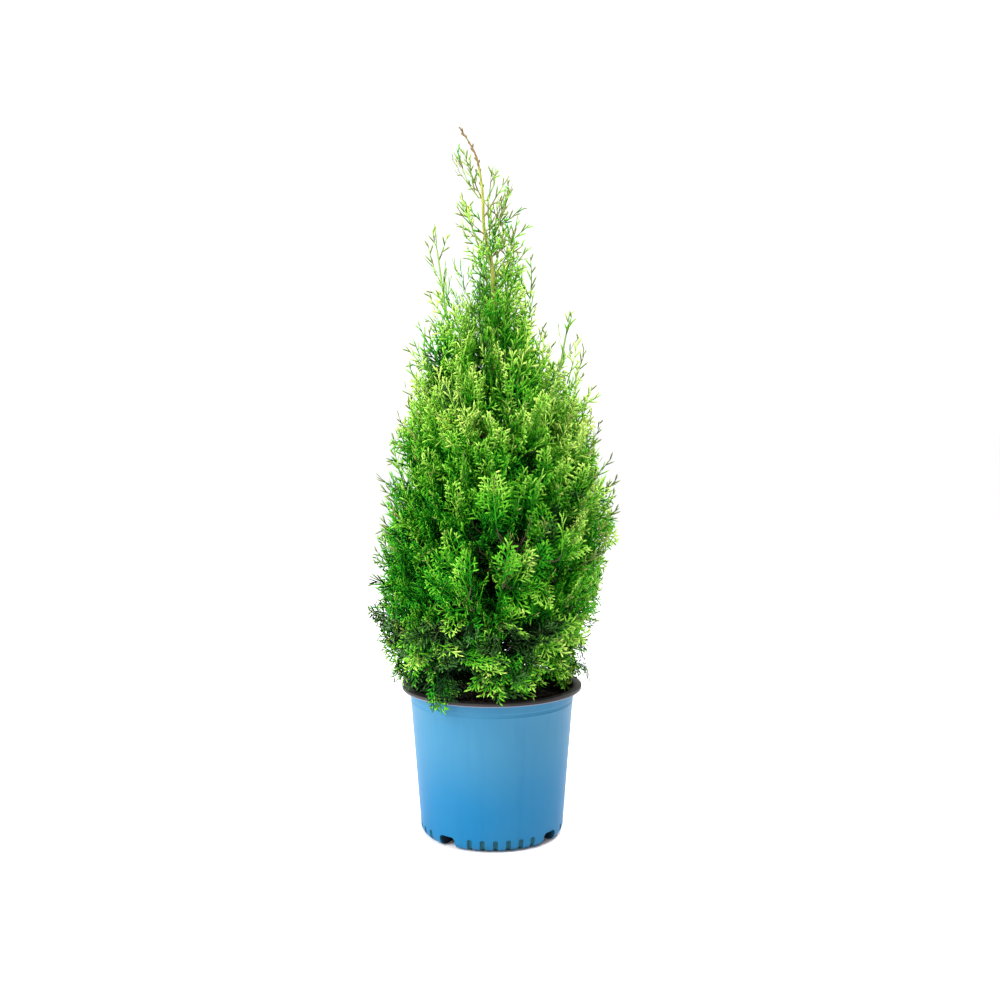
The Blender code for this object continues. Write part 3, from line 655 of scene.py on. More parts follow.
def pot_finish():
    """Blue film moulded onto dark plastic, which shows at the lip, inside and in the worn foot. The lip and
    the foot's bottom edge also carry painted highlights and painted shade.
    """
    finish = Finish("pot_plastic", specular_ior_level=0.14)
    point, (x, y, z) = finish.place()
    radius = (x * x + y * y).math("SQRT")
    nominal = (z - CORNER_HEIGHT).math("MAXIMUM", 0.0) * WALL_SLOPE + WALL_FOOT_RADIUS
    depth = nominal - radius
    cloud = finish.noise(point, 9.0)
    grain = finish.noise(point, 900.0)
    streak = finish.noise(finish.stretched(point, (60.0, 60.0, 3.0)), 1.0)
    blue = finish.mix(z.between(0.04, 0.15), (14, 101, 145), (54, 115, 147))
    blue = finish.mix(cloud.between(0.35, 0.65) * 0.3, blue, (44, 112, 146))
    blue = finish.mix(streak.between(0.45, 0.8) * 0.25, blue, (20, 90, 132))
    teal = finish.mix(grain.between(0.35, 0.65), (8, 54, 68), (22, 86, 100))
    below = (CORNER_CENTRE[1] - z).math("MAXIMUM", 0.0).math("MINIMUM", CORNER_RADIUS)
    corner = CORNER_RADIUS - (CORNER_RADIUS**2 - below * below).math("SQRT")
    carved = (depth - corner) * (1 - z.between(0.017, 0.0185))
    worn = carved.between(0.0002, 0.0008)
    scuff = streak.between(0.5, 0.62) * (1 - z.between(0.001, 0.009)) * 0.7
    # A thin dark teal line along the bottom edge: partly worn film, partly painted contact shade
    edge = (1 - z.between(0.0006, 0.0022)) * 0.8
    colour = finish.mix((worn + scuff + edge).math("MINIMUM", 1.0), blue, teal)
    colour = finish.mix(carved.between(0.003, 0.006), colour, (22, 38, 54))
    # A pale line in the cove under the lip: partly the film's edge, partly a painted highlight where the lip
    # catches light
    label_edge_and_highlight = z.between(0.1928, 0.1936) * (1 - z.between(0.1946, 0.1952))
    colour = finish.mix(label_edge_and_highlight * 0.5, colour, (130, 146, 164))
    lip = finish.mix(cloud.between(0.3, 0.7), (44, 40, 39), (58, 53, 51))
    # A pale lilac band on the lower side of the lip: a painted highlight where its edge catches light
    lip = finish.mix(z.between(0.1964, 0.1956), lip, (122, 128, 146))
    # The lip's top is darker: painted shade from the foliage over it
    lip = finish.mix(z.between(0.1986, 0.1994), lip, (32, 30, 30))
    dark = depth.between(0.0008, 0.0011) * z.between(0.017, 0.0185)
    bare = z.between(0.1946, 0.1952)
    colour = finish.mix(bare, colour, lip)
    colour = finish.mix(dark.math("MINIMUM", 1.0), colour, (34, 32, 32))
    finish.set("Base Color", colour)
    finish.set("Roughness", cloud * 0.1 + grain * 0.06 + 0.36)
    finish.set("Normal", finish.bump(grain * 0.6 + streak, 0.00012, 0.5))
    return finish.made


# Potting mix


def soil_height(share):
    """Height of the mix, a share of the way from its middle to the wall."""
    return SOIL_CROWN_HEIGHT - SOIL_FALL * share**1.6


def make_mix():
    """Mix that fills the pot, with a crumbly top, and bark chips that lie in it."""
    inner = WALL + GAP
    edge = wall_radius(SOIL_EDGE_HEIGHT) - inner
    top = [(0.0, SOIL_CROWN_HEIGHT)]
    top += [(edge * i / 26, soil_height(i / 26)) for i in range(1, 27)]
    low = [(wall_radius(BASE_TOP + GAP) - inner, BASE_TOP + GAP), (0.0, BASE_TOP + GAP)]
    mix = turned(top + low, MIX_SIDES)
    lift = displaced(mix, "crumbs", 0.006, 3, 0.006, 0.62)
    lift.texture_coords = "LOCAL"
    lift.direction = "Z"
    top_group = mix.vertex_groups.new(name="top")
    inside = [v.index for v in mix.data.vertices if v.co.z > 0.17 and v.co.xy.length < edge - 0.001]
    top_group.add(inside, 1.0, "REPLACE")
    lift.vertex_group = "top"
    apply_modifiers(mix)
    settle(mix, "mix_bed", 50)
    rng = random.Random(SEED)
    chips = []
    for _ in range(CHIP_COUNT):
        angle = rng.uniform(0, 2 * pi)
        reach = (edge - 0.006) * sqrt(rng.random())
        chip = added(bpy.ops.mesh.primitive_ico_sphere_add, subdivisions=1, radius=1.0)
        chip.scale = (rng.uniform(0.003, 0.008), rng.uniform(0.0015, 0.004), rng.uniform(0.0008, 0.0018))
        chip.rotation_euler = (rng.gauss(0, 0.3), rng.gauss(0, 0.3), rng.uniform(0, pi))
        chip.location = (reach * cos(angle), reach * sin(angle), soil_height(reach / edge) - 0.0008)
        chips.append(chip)
    chips = settle(join(chips), "bark_chips", 20)
    for piece, name, dark, light in (
        (mix, "mix_crumbs", (26, 21, 18), (48, 38, 31)),
        (chips, "chip_bark", (48, 34, 25), (84, 60, 43)),
    ):
        finish_piece(piece, mix_finish(name, dark, light), "potting_mix", "potting_mix")


def mix_finish(name, dark, light):
    finish = Finish(name, roughness=0.95)
    point, _ = finish.place()
    speck = finish.noise(point, 380.0, 5.0)
    clump = finish.noise(point, 60.0)
    finish.set("Base Color", finish.mix((speck * 0.6 + clump * 0.4).between(0.38, 0.62), dark, light))
    finish.set("Normal", finish.bump(speck, 0.0012))
    return finish.made


# Limbs with bark


def limb(path, radii, sides):
    """A tapering limb: a ring that is extruded from point to point of its path."""
    points = [Vector(p) for p in path]
    obj = disc(points[0], (points[1] - points[0]).normalized(), "X", radii[0], sides)
    for i in range(1, len(points)):
        extrude(points[i] - points[i - 1])
        size = radii[i] / radii[i - 1]
        bpy.ops.transform.resize(value=(size, size, size), center_override=points[i])
    leave_edit()
    return obj


def smooth_path(path, radii, steps):
    """A Catmull-Rom curve through a limb's points, with its radii."""
    rows = np.array([(*p, r) for p, r in zip(path, radii)], float)
    ends = np.vstack((2 * rows[0] - rows[1], rows, 2 * rows[-1] - rows[-2]))
    out = []
    for i in range(len(rows) - 1):
        a, b, c, d = ends[i:i + 4]
        for t in np.arange(steps) / steps:
            out.append(0.5 * (2 * b + (c - a) * t + (2 * a - 5 * b + 4 * c - d) * t**2
                              + (3 * b - a - 3 * c + d) * t**3))
    out.append(rows[-1])
    return [row[:3] for row in out], [row[3] for row in out]


def fibrous(obj, relief):
    """Raises long fibres and cracks on a limb, finer than its own thickness."""
    for number, (size, share) in enumerate(((0.003, 0.65), (0.0012, 0.35))):
        guide = linked("bark_guide", None)
        guide.scale = (size, size, size * 9)
        lift = displaced(obj, f"bark_{number}", 1.0, 2, relief * share, 0.5)
        lift.texture_coords = "OBJECT"
        lift.texture_coords_object = guide
        bpy.context.view_layer.update()
        apply_modifiers(obj)
        bpy.data.objects.remove(guide)


def trunk_at(height):
    return np.array([np.interp(height, TRUNK_AXIS[:, 2], TRUNK_AXIS[:, i]) for i in range(4)])


def make_trunk():
    path, radii = smooth_path(TRUNK_AXIS[:, :3], TRUNK_AXIS[:, 3], TRUNK_STEPS)
    trunk = limb(path, radii, TRUNK_SIDES)
    fibrous(trunk, TRUNK_RELIEF)
    settle(trunk, "bark_trunk", 60)
    return finish_piece(trunk, bark_finish("trunk_bark", True), "bark", "trunk")


def make_boughs(masses):
    limbs = []
    bearing = [mass for mass in masses if mass.has_bough]
    for mass in bearing:
        start = trunk_at(mass.limb_path[0][2])
        points = [np.array(p, float) for p in mass.limb_path]
        way = points[1] - points[0]
        points[0] = points[0] + way / np.linalg.norm(way) * start[3] * 0.6
        path, radii = smooth_path(points, np.linspace(BOUGH_RADIUS, STEM_RADIUS, len(points)), BOUGH_STEPS)
        limbs.append(limb(path, radii, BOUGH_SIDES))
    boughs = join(limbs)
    fibrous(boughs, BOUGH_RELIEF)
    settle(boughs, "bark_boughs", 60)
    names = [mass.name.replace("mass", "bough") for mass in bearing]
    return finish_piece(boughs, bark_finish("bough_bark", False), "bark", *names)


def bark_finish(name, has_leader):
    """Reddish fibrous bark, which gives way to yellow-green skin on the young leader."""
    finish = Finish(name, roughness=0.85)
    point, (_, _, z) = finish.place()
    fibre = finish.noise(finish.stretched(point, (900.0, 900.0, 60.0)), 1.0, 4.0)
    patch = finish.noise(point, 70.0)
    dark, light, grey = (92, 56, 38), (166, 112, 78), (140, 122, 100)
    if not has_leader:
        dark, light, grey = (48, 34, 22), (88, 66, 44), (72, 62, 46)
    bark = finish.mix(fibre.between(0.35, 0.66), dark, light)
    bark = finish.mix(patch.between(0.45, 0.75) * 0.6, bark, grey)
    if has_leader:
        young = finish.mix(fibre.between(0.3, 0.7), (126, 130, 44), (166, 170, 76))
        rusty = finish.mix(fibre.between(0.3, 0.7), (104, 82, 50), (138, 112, 74))
        bark = finish.mix(z.between(0.69, 0.735), bark, young)
        bark = finish.mix(z.between(0.868, 0.89), bark, rusty)
    finish.set("Base Color", bark)
    finish.set("Normal", finish.bump(fibre, 0.0005))
    return finish.made


# The crown's skeleton and the room of each mass


class Mass:
    """One mass of foliage: its limb's path from the trunk, and its own stem's path from there."""

    def __init__(self, name, kind, limb_path, stem_path):
        self.name = name
        self.kind = kind
        self.limb_path = limb_path
        self.stem_path = stem_path
        self.has_bough = kind in ("dense", "upper", "side")
        self.axis = np.array([*limb_path, *stem_path[1:]])


def compass(angle):
    return np.array((cos(angle), sin(angle), 0.0))


def swung(way, towards, angle):
    """A direction turned by an angle towards another that is square to it."""
    return way * cos(angle) + towards * sin(angle)


def unit(v):
    return v / np.linalg.norm(v, axis=-1, keepdims=True)


def crown_radius(height, angle):
    """Radius of the crown's tips at a height, from the outline's left and right sides."""
    heights, *sides = CROWN_OUTLINE.T
    left, right = (np.interp(height, heights, side, 0.0, 0.0) for side in sides)
    return (left + right) / 2 + (right - left) / 2 * np.cos(angle)


def spiral_mass(index):
    """The bough and stem of one place on the spiral. Low boughs spread, high ones climb."""
    share = index / (BOUGH_COUNT - 1)
    rise = share**BOUGH_CROWDING
    angle = FIRST_BOUGH_ANGLE + index * GOLDEN_ANGLE
    foot = trunk_at(LOWEST_BOUGH + (HIGHEST_BOUGH - LOWEST_BOUGH) * rise)[:3]
    tip_height = LOWEST_TIP + (HIGHEST_TIP - LOWEST_TIP) * rise
    reach = crown_radius(tip_height, angle)
    tip = compass(angle) * max(INNERMOST_TIP * reach, reach - SPRAY_REACH) + UP * tip_height
    sag = -BOUGH_SAG * UP
    entry = foot + (tip - foot) * ENTRY_SHARE + compass(angle) * 0.004 + sag * share
    middle = (foot + entry) / 2 + sag * share / 3
    half = (entry + tip) / 2 + sag * (share * 1.3 - 0.6)
    kind = "upper" if tip_height > UPPER_HEIGHT else "dense"
    return Mass(f"mass_{index + 1:02d}", kind, [foot, middle, entry], [entry, half, tip])


def side_mass(name, foot_height, entry, tip):
    """A side leader: a limb that bows outwards and then climbs."""
    foot = trunk_at(foot_height)[:3]
    entry, tip = np.array(entry), np.array(tip)
    outward = np.array((copysign(1.0, entry[0]), 0, 0))
    middle = (foot + entry) / 2 + outward * 0.012 - UP * 0.02
    half = (entry + tip) / 2 + outward * 0.003
    return Mass(f"mass_{name}", "side", [foot, middle, entry], [entry, half, tip])


def top_mass(name, kind, height, turn, length, rise):
    """A mass whose stem leaves the trunk square and then climbs beside it."""
    foot = trunk_at(height)
    lean = unit(trunk_at(height + 0.004)[:3] - trunk_at(height - 0.004)[:3])
    outward = compass(radians(turn))
    outward = unit(outward - lean * outward.dot(lean))
    start = foot[:3] + outward * foot[3] * 0.5
    elbow = foot[:3] + outward * (foot[3] + STEM_RADIUS * 1.5)
    climb = radians(rise)
    tip = elbow + swung(outward, UP, climb) * length
    half = (elbow + tip) / 2 + outward * 0.004
    return Mass(f"mass_{name}", kind, [foot[:3], start], [start, elbow, half, tip])


def all_masses():
    spiral = [spiral_mass(i) for i in range(BOUGH_COUNT)]
    return spiral + [side_mass(*row) for row in SIDE_LEADERS] + [top_mass(*row) for row in TOP_MASSES]


class Crown:
    """Tells which points lie in a mass's room: nearest to its own limb, and inside the outline."""

    def __init__(self, masses):
        self.masses = masses
        pairs = [(m.axis[i], m.axis[i + 1], k) for k, m in enumerate(masses) for i in range(len(m.axis) - 1)]
        self.start = np.array([p[0] for p in pairs])
        self.step = np.array([p[1] for p in pairs]) - self.start
        owners = np.array([p[2] for p in pairs])
        self.first = np.searchsorted(owners, np.arange(len(masses)))

    def distances(self, points):
        """Distance of each point from each mass's axis."""
        away = points[:, None, :] - self.start[None]
        share = np.einsum("psk,sk->ps", away, self.step) / np.einsum("sk,sk->s", self.step, self.step)
        near = away - np.clip(share, 0, 1)[..., None] * self.step
        return np.minimum.reduceat(np.linalg.norm(near, axis=2), self.first, axis=1)

    def holds(self, points, number, interlock):
        kind = self.masses[number].kind
        x, y, z = points.T
        radius = np.hypot(x, y)
        apart = self.distances(points)
        own = apart[:, number].copy()
        apart[:, number] = np.inf
        inside = (radius < crown_radius(z, np.arctan2(y, x))) & (z < np.interp(x, *TOP_SLANT))
        if kind == "side":
            inside |= own < SIDE_LEADER_RADIUS
        within_pot = (radius < WALL_TOP_RADIUS - 0.004) & (z > SOIL_CROWN_HEIGHT + 0.001)
        over_rim = (radius > LIP_RADIUS + LIP_CLEARANCE) & (z > POT_HEIGHT - RIM_DROP)
        inside |= over_rim & (radius < LIP_RADIUS + RIM_REACH) & (z < POT_HEIGHT + RIM_RISE)
        inside &= (z > POT_HEIGHT + LIP_CLEARANCE) | within_pot | over_rim
        trunk_x, trunk_y, _, trunk_radius = trunk_at(z)
        inside &= np.hypot(x - trunk_x, y - trunk_y) > trunk_radius + 0.001
        return inside & (own < apart.min(axis=1) + interlock)


def point_along(path, share):
    """The point a share of the way along a path, and the way the path runs there."""
    path = np.asarray(path)
    lengths = np.linalg.norm(np.diff(path, axis=0), axis=1)
    ends = np.concatenate(((0,), np.cumsum(lengths)))
    place = np.clip(share, 0, 1) * ends[-1]
    i = min(np.searchsorted(ends, place, side="right") - 1, len(lengths) - 1)
    along = (path[i + 1] - path[i]) / lengths[i]
    return path[i] + along * (place - ends[i]), along


def nearest_on(path, point):
    """The point of a path that lies nearest to a point."""
    path = np.asarray(path, float)
    step = np.diff(path, axis=0)
    share = np.einsum("sk,sk->s", point - path[:-1], step) / np.einsum("sk,sk->s", step, step)
    near = path[:-1] + np.clip(share, 0, 1)[:, None] * step
    return near[np.argmin(np.linalg.norm(near - point, axis=1))]


def frame_of(direction, facing, roll):
    """Side and normal of something that grows along direction and turns its face towards facing."""
    normal = facing - direction * facing.dot(direction)
    if np.linalg.norm(normal) < 1e-3:
        normal = np.cross(direction, (0.3, 0.5, 0.8))
    normal = unit(normal)
    side = np.cross(normal, direction)
    turned_normal = swung(normal, side, roll)
    return np.cross(turned_normal, direction), turned_normal


# Fronds: flat branching sprays, modelled once in several lengths and then set in place


def heading(angle):
    """A direction on a frond's plane."""
    return compass(angle)[:2]


class Frond:
    """Slim ribbons on a plane, each from a to b, with the ribbon that it stands on."""

    def __init__(self, length, habit, rng):
        self.length = length
        self.habit = habit
        self.rows = []
        self.rng = rng
        midrib = self.chain(np.zeros(2), 0.0, length, 0.01, 0.001, 0.1, -1)
        station = habit.bare * length + rng.uniform(0, habit.spacing)
        sign = rng.choice((-1, 1))
        while station < length * 0.95:
            share = station / length
            size = habit.longest * length * min(1.0, share / 0.26 + 0.25) * (1.0 - share) ** 0.75
            size += habit.shortest
            size *= rng.uniform(0.82, 1.15)
            turn = radians(habit.angle) * (1.14 - 0.35 * share) + rng.gauss(0, 0.07)
            root = np.array((station, 0.0))
            stem = midrib[min(int(share * len(midrib)), len(midrib) - 1)]
            if size < habit.single:
                self.finger(root, sign * turn, size, 0.55 + 0.45 * share, stem)
            else:
                self.shoot(root, sign * turn, size, sign, stem)
            sign = -sign
            station += habit.spacing * rng.uniform(0.85, 1.15) * (1.0 - 0.22 * share)

        rows = np.array([row[:6] for row in self.rows])
        self.a = rows[:, 0:2]
        self.b = rows[:, 2:4]
        self.width = rows[:, 4]
        self.outer = rows[:, 5]
        self.parent = np.array([row[6] for row in self.rows])
        count = len(rows)
        self.lift = np.array([rng.gauss(0, 0.12) for _ in range(count)]) * (self.parent >= 0)
        self.roll = np.array([rng.gauss(0, 0.28) for _ in range(count)])

    def finger(self, root, angle, size, outer, parent):
        tip = root + heading(angle) * size
        self.rows.append((*root, *tip, FINGER_WIDTH, min(1.0, outer), parent))

    def chain(self, root, angle, length, piece, width, outer, parent):
        """Ribbons end on end, each overlapping the one before, so that the line reads as one stem."""
        way = heading(angle)
        count = max(1, round(length / piece))
        step = length / count
        made = []
        for i in range(count):
            a = root + way * (i * step - (0.35 * step if i else 0.0))
            b = root + way * ((i + 1.45) * step if i < count - 1 else length)
            taper = 1.0 - 0.35 * i / count
            share = outer + (0.75 if parent < 0 else 0.35) * i / count
            self.rows.append((*a, *b, width * taper, min(1.0, share), made[-1] if made else parent))
            made.append(len(self.rows) - 1)
        return made

    def shoot(self, root, turn, size, sign, parent):
        """A side shoot that bends forwards at a knee, with fingers on both sides of it."""
        rng = self.rng
        edge = 0.3 + 0.55 * root[0] / self.length
        first = size * 0.55
        lower = self.chain(root, turn, first, 0.012, FINGER_WIDTH * 0.9, edge * 0.8, parent)
        knee = root + heading(turn) * first * 0.94
        bent = turn * 0.8
        upper = self.chain(knee, bent, size - first, 0.012, FINGER_WIDTH, min(1.0, edge + 0.2), lower[-1])
        station = 0.005 + rng.uniform(0, 0.0015)
        finger_sign = sign
        while station < size - 0.003:
            share = station / size
            if station < first:
                base = root + heading(turn) * station
                way, stem = turn, lower
            else:
                base = knee + heading(bent) * (station - first * 0.94)
                way, stem = bent, upper
            reach = min(0.01, 0.0042 + (size - station) * 0.55) * rng.uniform(0.8, 1.18)
            if finger_sign != sign:
                reach *= 0.84
            lean = radians(self.habit.lean) + rng.gauss(0, 0.09)
            self.finger(base, way + finger_sign * lean, reach, edge + 0.22 + 0.28 * share, stem[0])
            finger_sign = -finger_sign
            station += self.habit.step * rng.uniform(0.85, 1.15)


def make_templates():
    rng = random.Random(SEED)
    return [
        {size: [Frond(size, habit, rng) for _ in range(VARIANTS)] for size in habit.lengths}
        for habit in HABITS
    ]


# Growth


def at_height(values, height):
    return float(np.interp(height, SPRAY_HEIGHTS, values))


def places(count, crowding, turn=0.0):
    """Heights and angles spread evenly over the crown by the golden angle, closer where it is crowded."""
    heights = np.linspace(LOWEST_SPRAY, HIGHEST_SPRAY, 400)
    crowd = np.interp(heights, SPRAY_HEIGHTS, crowding) * crown_radius(heights, FRONT)
    filled = np.cumsum(crowd) / crowd.sum()
    for index in range(count):
        yield float(np.interp((index + 0.5) / count, filled, heights)), index * GOLDEN_ANGLE + turn


def wrapped(turn):
    """A turn in degrees, brought between -180 and 180."""
    return (turn + 180) % 360 - 180


def body_radius(height, angle):
    """How far the crown's dense body reaches. At the top it leaves the left leader bare."""
    bare = np.interp(height, *BARE_LEFT) * (1 - cos(angle)) / 2
    low, high, half_degrees, depth = VALLEY
    turn = wrapped(degrees(angle - FRONT))
    along = sin(pi * np.clip((height - low) / (high - low), 0, 1))
    sunk = depth * exp(-(turn / half_degrees) ** 2) * along
    return crown_radius(height, angle) * (at_height(BODY_SHARE, height) - bare - sunk)


def in_cleft(points):
    """Which points lie in one of the crown's clefts."""
    x, y, z = points.T
    angle = np.arctan2(y, x)
    right_of_front = wrapped(np.degrees(angle - FRONT))
    share = np.hypot(x, y) / np.maximum(crown_radius(z, angle), 0.02)
    inside = np.zeros(len(points), bool)
    for middle, height, half_degrees, half_height, left_share in CLEFTS:
        turn = wrapped(right_of_front - middle)
        near = (turn / half_degrees) ** 2 + ((z - height) / half_height) ** 2 < 1
        inside |= near & (share > left_share)
    return inside


def bezier(first, pull, last, count=6):
    t = np.linspace(0, 1, count)[:, None]
    return first * (1 - t) ** 2 + pull * 2 * t * (1 - t) + last * t**2


class Growth:
    """Grows twigs from the stems of the masses and sets fronds on them, each kept to its mass's room."""

    def __init__(self, masses):
        self.masses = masses
        self.crown = Crown(masses)
        self.templates = make_templates()
        # Woody twigs, and green ones
        self.tubes = ([], [])
        self.placed = []

    def grow(self):
        for mass in self.masses:
            radii = (STEM_RADIUS, STEM_TIP_RADIUS) if mass.has_bough else (STEM_TIP_RADIUS, TWIG_TIP_RADIUS)
            self.add_tube(mass.stem_path, *radii, mass.kind not in ("dense", "upper"))
        for seed, grower, rows in (
            (1000, self.grow_spray, places(SPRAY_COUNT, CROWDING)),
            (5000, self.grow_sprig, places(SPRIG_COUNT, SPRIG_CROWDING, SPRIG_TURN)),
            (7000, self.grow_inner, places(INNER_COUNT, INNER_CROWDING, INNER_TURN)),
            (2000, self.grow_rim_spray, RIM_SPRAYS),
            (3000, self.grow_sprigs, enumerate(self.masses)),
            (4000, self.grow_shoot, LEADER_SHOOTS),
            (8000, self.grow_shoot, SIDE_SHOOTS),
            (1, self.grow_scales, [()]),
            (6000, self.grow_fresh, FRESH_SPRAYS),
        ):
            for index, row in enumerate(rows):
                grower(*row, random.Random(SEED * seed + index))

    def number_at(self, point):
        """Number of the mass whose axis is nearest to a point."""
        return int(np.argmin(self.crown.distances(point[None])[0]))

    def grow_spray(self, height, angle, rng):
        """A spray of the crown's body: where its tip lies, and how it climbs or hangs there."""
        outward, across = compass(angle), compass(angle + pi / 2)
        hollow = noise.noise(Vector((4.2 * outward[0], 4.2 * outward[1], height / 0.1)))
        shell = min(1.0, 0.985 - 0.18 * rng.random() ** 1.3 + 0.16 * hollow)
        tip = outward * body_radius(height, angle) * shell + UP * height
        shingle = rng.random() < at_height(SHINGLE_SHARE, height)
        swing = rng.gauss(0, 0.24)
        if shingle:
            swing = rng.uniform(-1.0, 1.0) * at_height(SHINGLE_SWING, height)
            rise = at_height(SHINGLE_CLIMB, height) * cos(swing) + rng.gauss(0, 0.12)
            way = unit(outward * 0.42 + across * sin(swing) + UP * rise)
            facing = outward + UP * 0.25
        else:
            climb = radians(at_height(CLIMB_DEGREES, height) + rng.gauss(0, 11))
            way = unit(swung(outward + across * swing, UP, climb))
            facing = across * rng.choice((-1, 1))
        length = at_height(SPRAY_LENGTH, height) * rng.uniform(0.84, 1.12)
        open_habit = rng.random() < at_height(OPEN_SHARE, height)
        self.grow_branch(tip, way, facing, rng.gauss(0, 0.42), length, open_habit, rng)

    def grow_sprig(self, height, angle, rng):
        """An open sprig that reaches the crown's outline."""
        outward, across = compass(angle), compass(angle + pi / 2)
        tip = outward * crown_radius(height, angle) * rng.uniform(0.95, 0.998) + UP * height
        climb = radians(at_height(CLIMB_DEGREES, height) + rng.gauss(4, 10))
        way = unit(swung(outward + across * rng.gauss(0, 0.25), UP, climb))
        self.grow_branch(tip, way, across, rng.gauss(0, 0.5), rng.uniform(0.052, 0.08), True, rng, 1)

    def grow_inner(self, height, angle, rng):
        """A short spray close to the trunk."""
        outward, across = compass(angle), compass(angle + pi / 2)
        tip = outward * body_radius(height, angle) * rng.uniform(0.36, 0.62) + UP * height
        way = unit(outward * 0.6 + across * rng.gauss(0, 0.4) + UP * rng.uniform(0.4, 1.2))
        self.grow_branch(tip, way, outward, rng.gauss(0, 0.8), rng.uniform(0.044, 0.06), False, rng, 2)

    def grow_rim_spray(self, turn, height, rng):
        angle = radians(turn)
        outward = compass(angle)
        tip = outward * (LIP_RADIUS + 0.013) + UP * height
        way = unit(outward * 0.35 + compass(angle + pi / 2) * rng.uniform(-0.25, 0.25) - UP * 0.94)
        # Their tone is lowered, as they hang in the crown's shade: painted shade
        self.grow_branch(tip, way, outward + UP * 0.3, rng.gauss(0, 0.2), 0.056, False, rng, 0, -0.3)

    def root_of(self, mass, foot, way):
        """Where a twig leaves the wood: its mass's stem, or the trunk a little lower down."""
        if mass.has_bough:
            return nearest_on(mass.stem_path, foot - way * 0.02)
        trunk = trunk_at(foot[2])[:2]
        drop = 0.9 * np.linalg.norm(foot[:2] - trunk)
        return trunk_at(max(foot[2] - drop, HIGHEST_BOUGH))[:3]

    def grow_fresh(self, x, height, across, rise, out, length, lift, open_habit, flat, rng):
        """A fresh spray on the front of the crown, alone on its twig."""
        depth = sqrt((0.96 * crown_radius(height, FRONT)) ** 2 - x**2)
        tip = np.array((x, -depth, height))
        outward = unit(np.array((x, -depth, 0.0)))
        way = unit(np.cross(UP, outward) * across + UP * rise + outward * out)
        facing = UP + outward * 0.5 if flat else outward
        self.grow_branch(tip, way, facing, rng.gauss(0, 0.1), length, open_habit, rng, 0, lift)

    def grow_shoot(self, foot, tip, rng):
        """A long open shoot of a leader. Its foot is a point, or a height on the trunk."""
        foot = np.array(foot) if isinstance(foot, tuple) else trunk_at(foot)[:3]
        reach = np.array(tip) - foot
        length = np.linalg.norm(reach)
        facing = np.array((0.0, -1.0, 0.0) if abs(reach[0]) > abs(reach[1]) else (1.0, 0.0, 0.0))
        seat = (foot, unit(reach), facing, rng.gauss(0, 0.3), length)
        self.place_fronds(self.number_at(foot + reach * 0.4), [seat], True, rng)

    def grow_scales(self, rng):
        """Short scaly tips along the bare top of the leader."""
        heights = np.arange(LOWEST_SCALE, PLANT_HEIGHT - 0.003, SCALE_STEP)
        feet = np.array([trunk_at(height)[:3] for height in heights])
        turns = np.arange(len(feet)) * GOLDEN_ANGLE
        outward = np.stack((np.cos(turns), np.sin(turns), 0 * turns), axis=1)
        way = unit(unit(np.gradient(feet, axis=0)) + 0.5 * outward)
        self.placed.append({
            "a": feet, "b": feet + way * rng.uniform(0.006, 0.0085), "normal": np.cross(way, outward),
            "width": np.full(len(feet), FINGER_WIDTH), "roll": np.zeros(len(feet)),
            "outer": np.full(len(feet), 0.3), "tone": -0.1, "accent": 0.5, "open": True,
        })

    def grow_branch(self, tip, way, facing, roll, length, open_habit, rng, most_beside=4, lift=0.0):
        """A twig from the wood to the foot of the leading frond, and fronds along both sides of it."""
        foot = tip - way * length
        foot[2] = max(foot[2], SOIL_CROWN_HEIGHT + 0.006)
        number = self.number_at(foot + way * length * 0.3)
        root = self.root_of(self.masses[number], foot, way)
        gap = np.linalg.norm(foot - root)
        twig = bezier(root, foot - way * min(gap * 0.4, 0.024), foot)
        self.add_tube(twig, TWIG_RADIUS, TWIG_TIP_RADIUS, foot[2] > UPPER_HEIGHT)
        side, normal = frame_of(way, facing, roll)
        seats = [(foot, way, normal, 0.0, length)]
        sign = rng.choice((-1, 1))
        for station in np.arange(gap, 0.25 * gap, -SIDE_FAN_STEP)[:most_beside]:
            base, along = point_along(twig, station / gap)
            angle = SIDE_FAN_ANGLE + rng.gauss(0, 0.12)
            branching = unit(swung(along, side * sign, angle))
            size = length * (0.55 + 0.3 * (station / gap))
            seats.append((base, branching, normal, rng.gauss(0, 0.32), size))
            sign = -sign
        if most_beside > 1:
            branching = unit(swung(way, side * sign, 0.8))
            seats.append((foot - way * 0.002, branching, normal, rng.gauss(0, 0.3), length * 0.62))
        self.place_fronds(number, seats, open_habit, rng, lift)

    def grow_sprigs(self, number, mass, rng):
        """Slim open sprigs on the bare upper part of a leader's stem."""
        if mass.kind not in ("side", "top"):
            return
        length = sum(np.linalg.norm(np.diff(mass.stem_path, axis=0), axis=1))
        leader = mass.kind == "side"
        seats = []
        station = length * (0.4 if leader else 0.25)
        turn = rng.random() * 6.0
        while station < length * 0.92:
            base, along = point_along(mass.stem_path, station / length)
            side, normal = frame_of(along, UP, turn)
            lean = radians(rng.uniform(26, 42))
            way = unit(swung(along, side, lean) + UP * 0.15)
            seats.append((base, way, normal, rng.gauss(0, 0.4), 0.056 - 0.02 * station / length))
            turn += GOLDEN_ANGLE
            station += 0.021 if leader else 0.012
        base, along = point_along(mass.stem_path, 1.0)
        outward = unit(np.array((base[0], base[1], 0.0)) + 1e-6)
        side = np.cross(along, outward)
        room = 0.042 if leader else min(0.056, 0.85 * (PLANT_HEIGHT - base[2]))
        for lean, share in ((0.0, 1.0), (0.5, 0.75)):
            way = unit(along + outward * lean * 0.6 + side * lean * rng.choice((-1, 1)))
            seats.append((base, way, side, rng.gauss(0, 0.5), room * share))
        self.place_fronds(number, seats, True, rng)

    def add_tube(self, points, first, last, green):
        self.tubes[bool(green)].append((np.array(points, float), first, last))

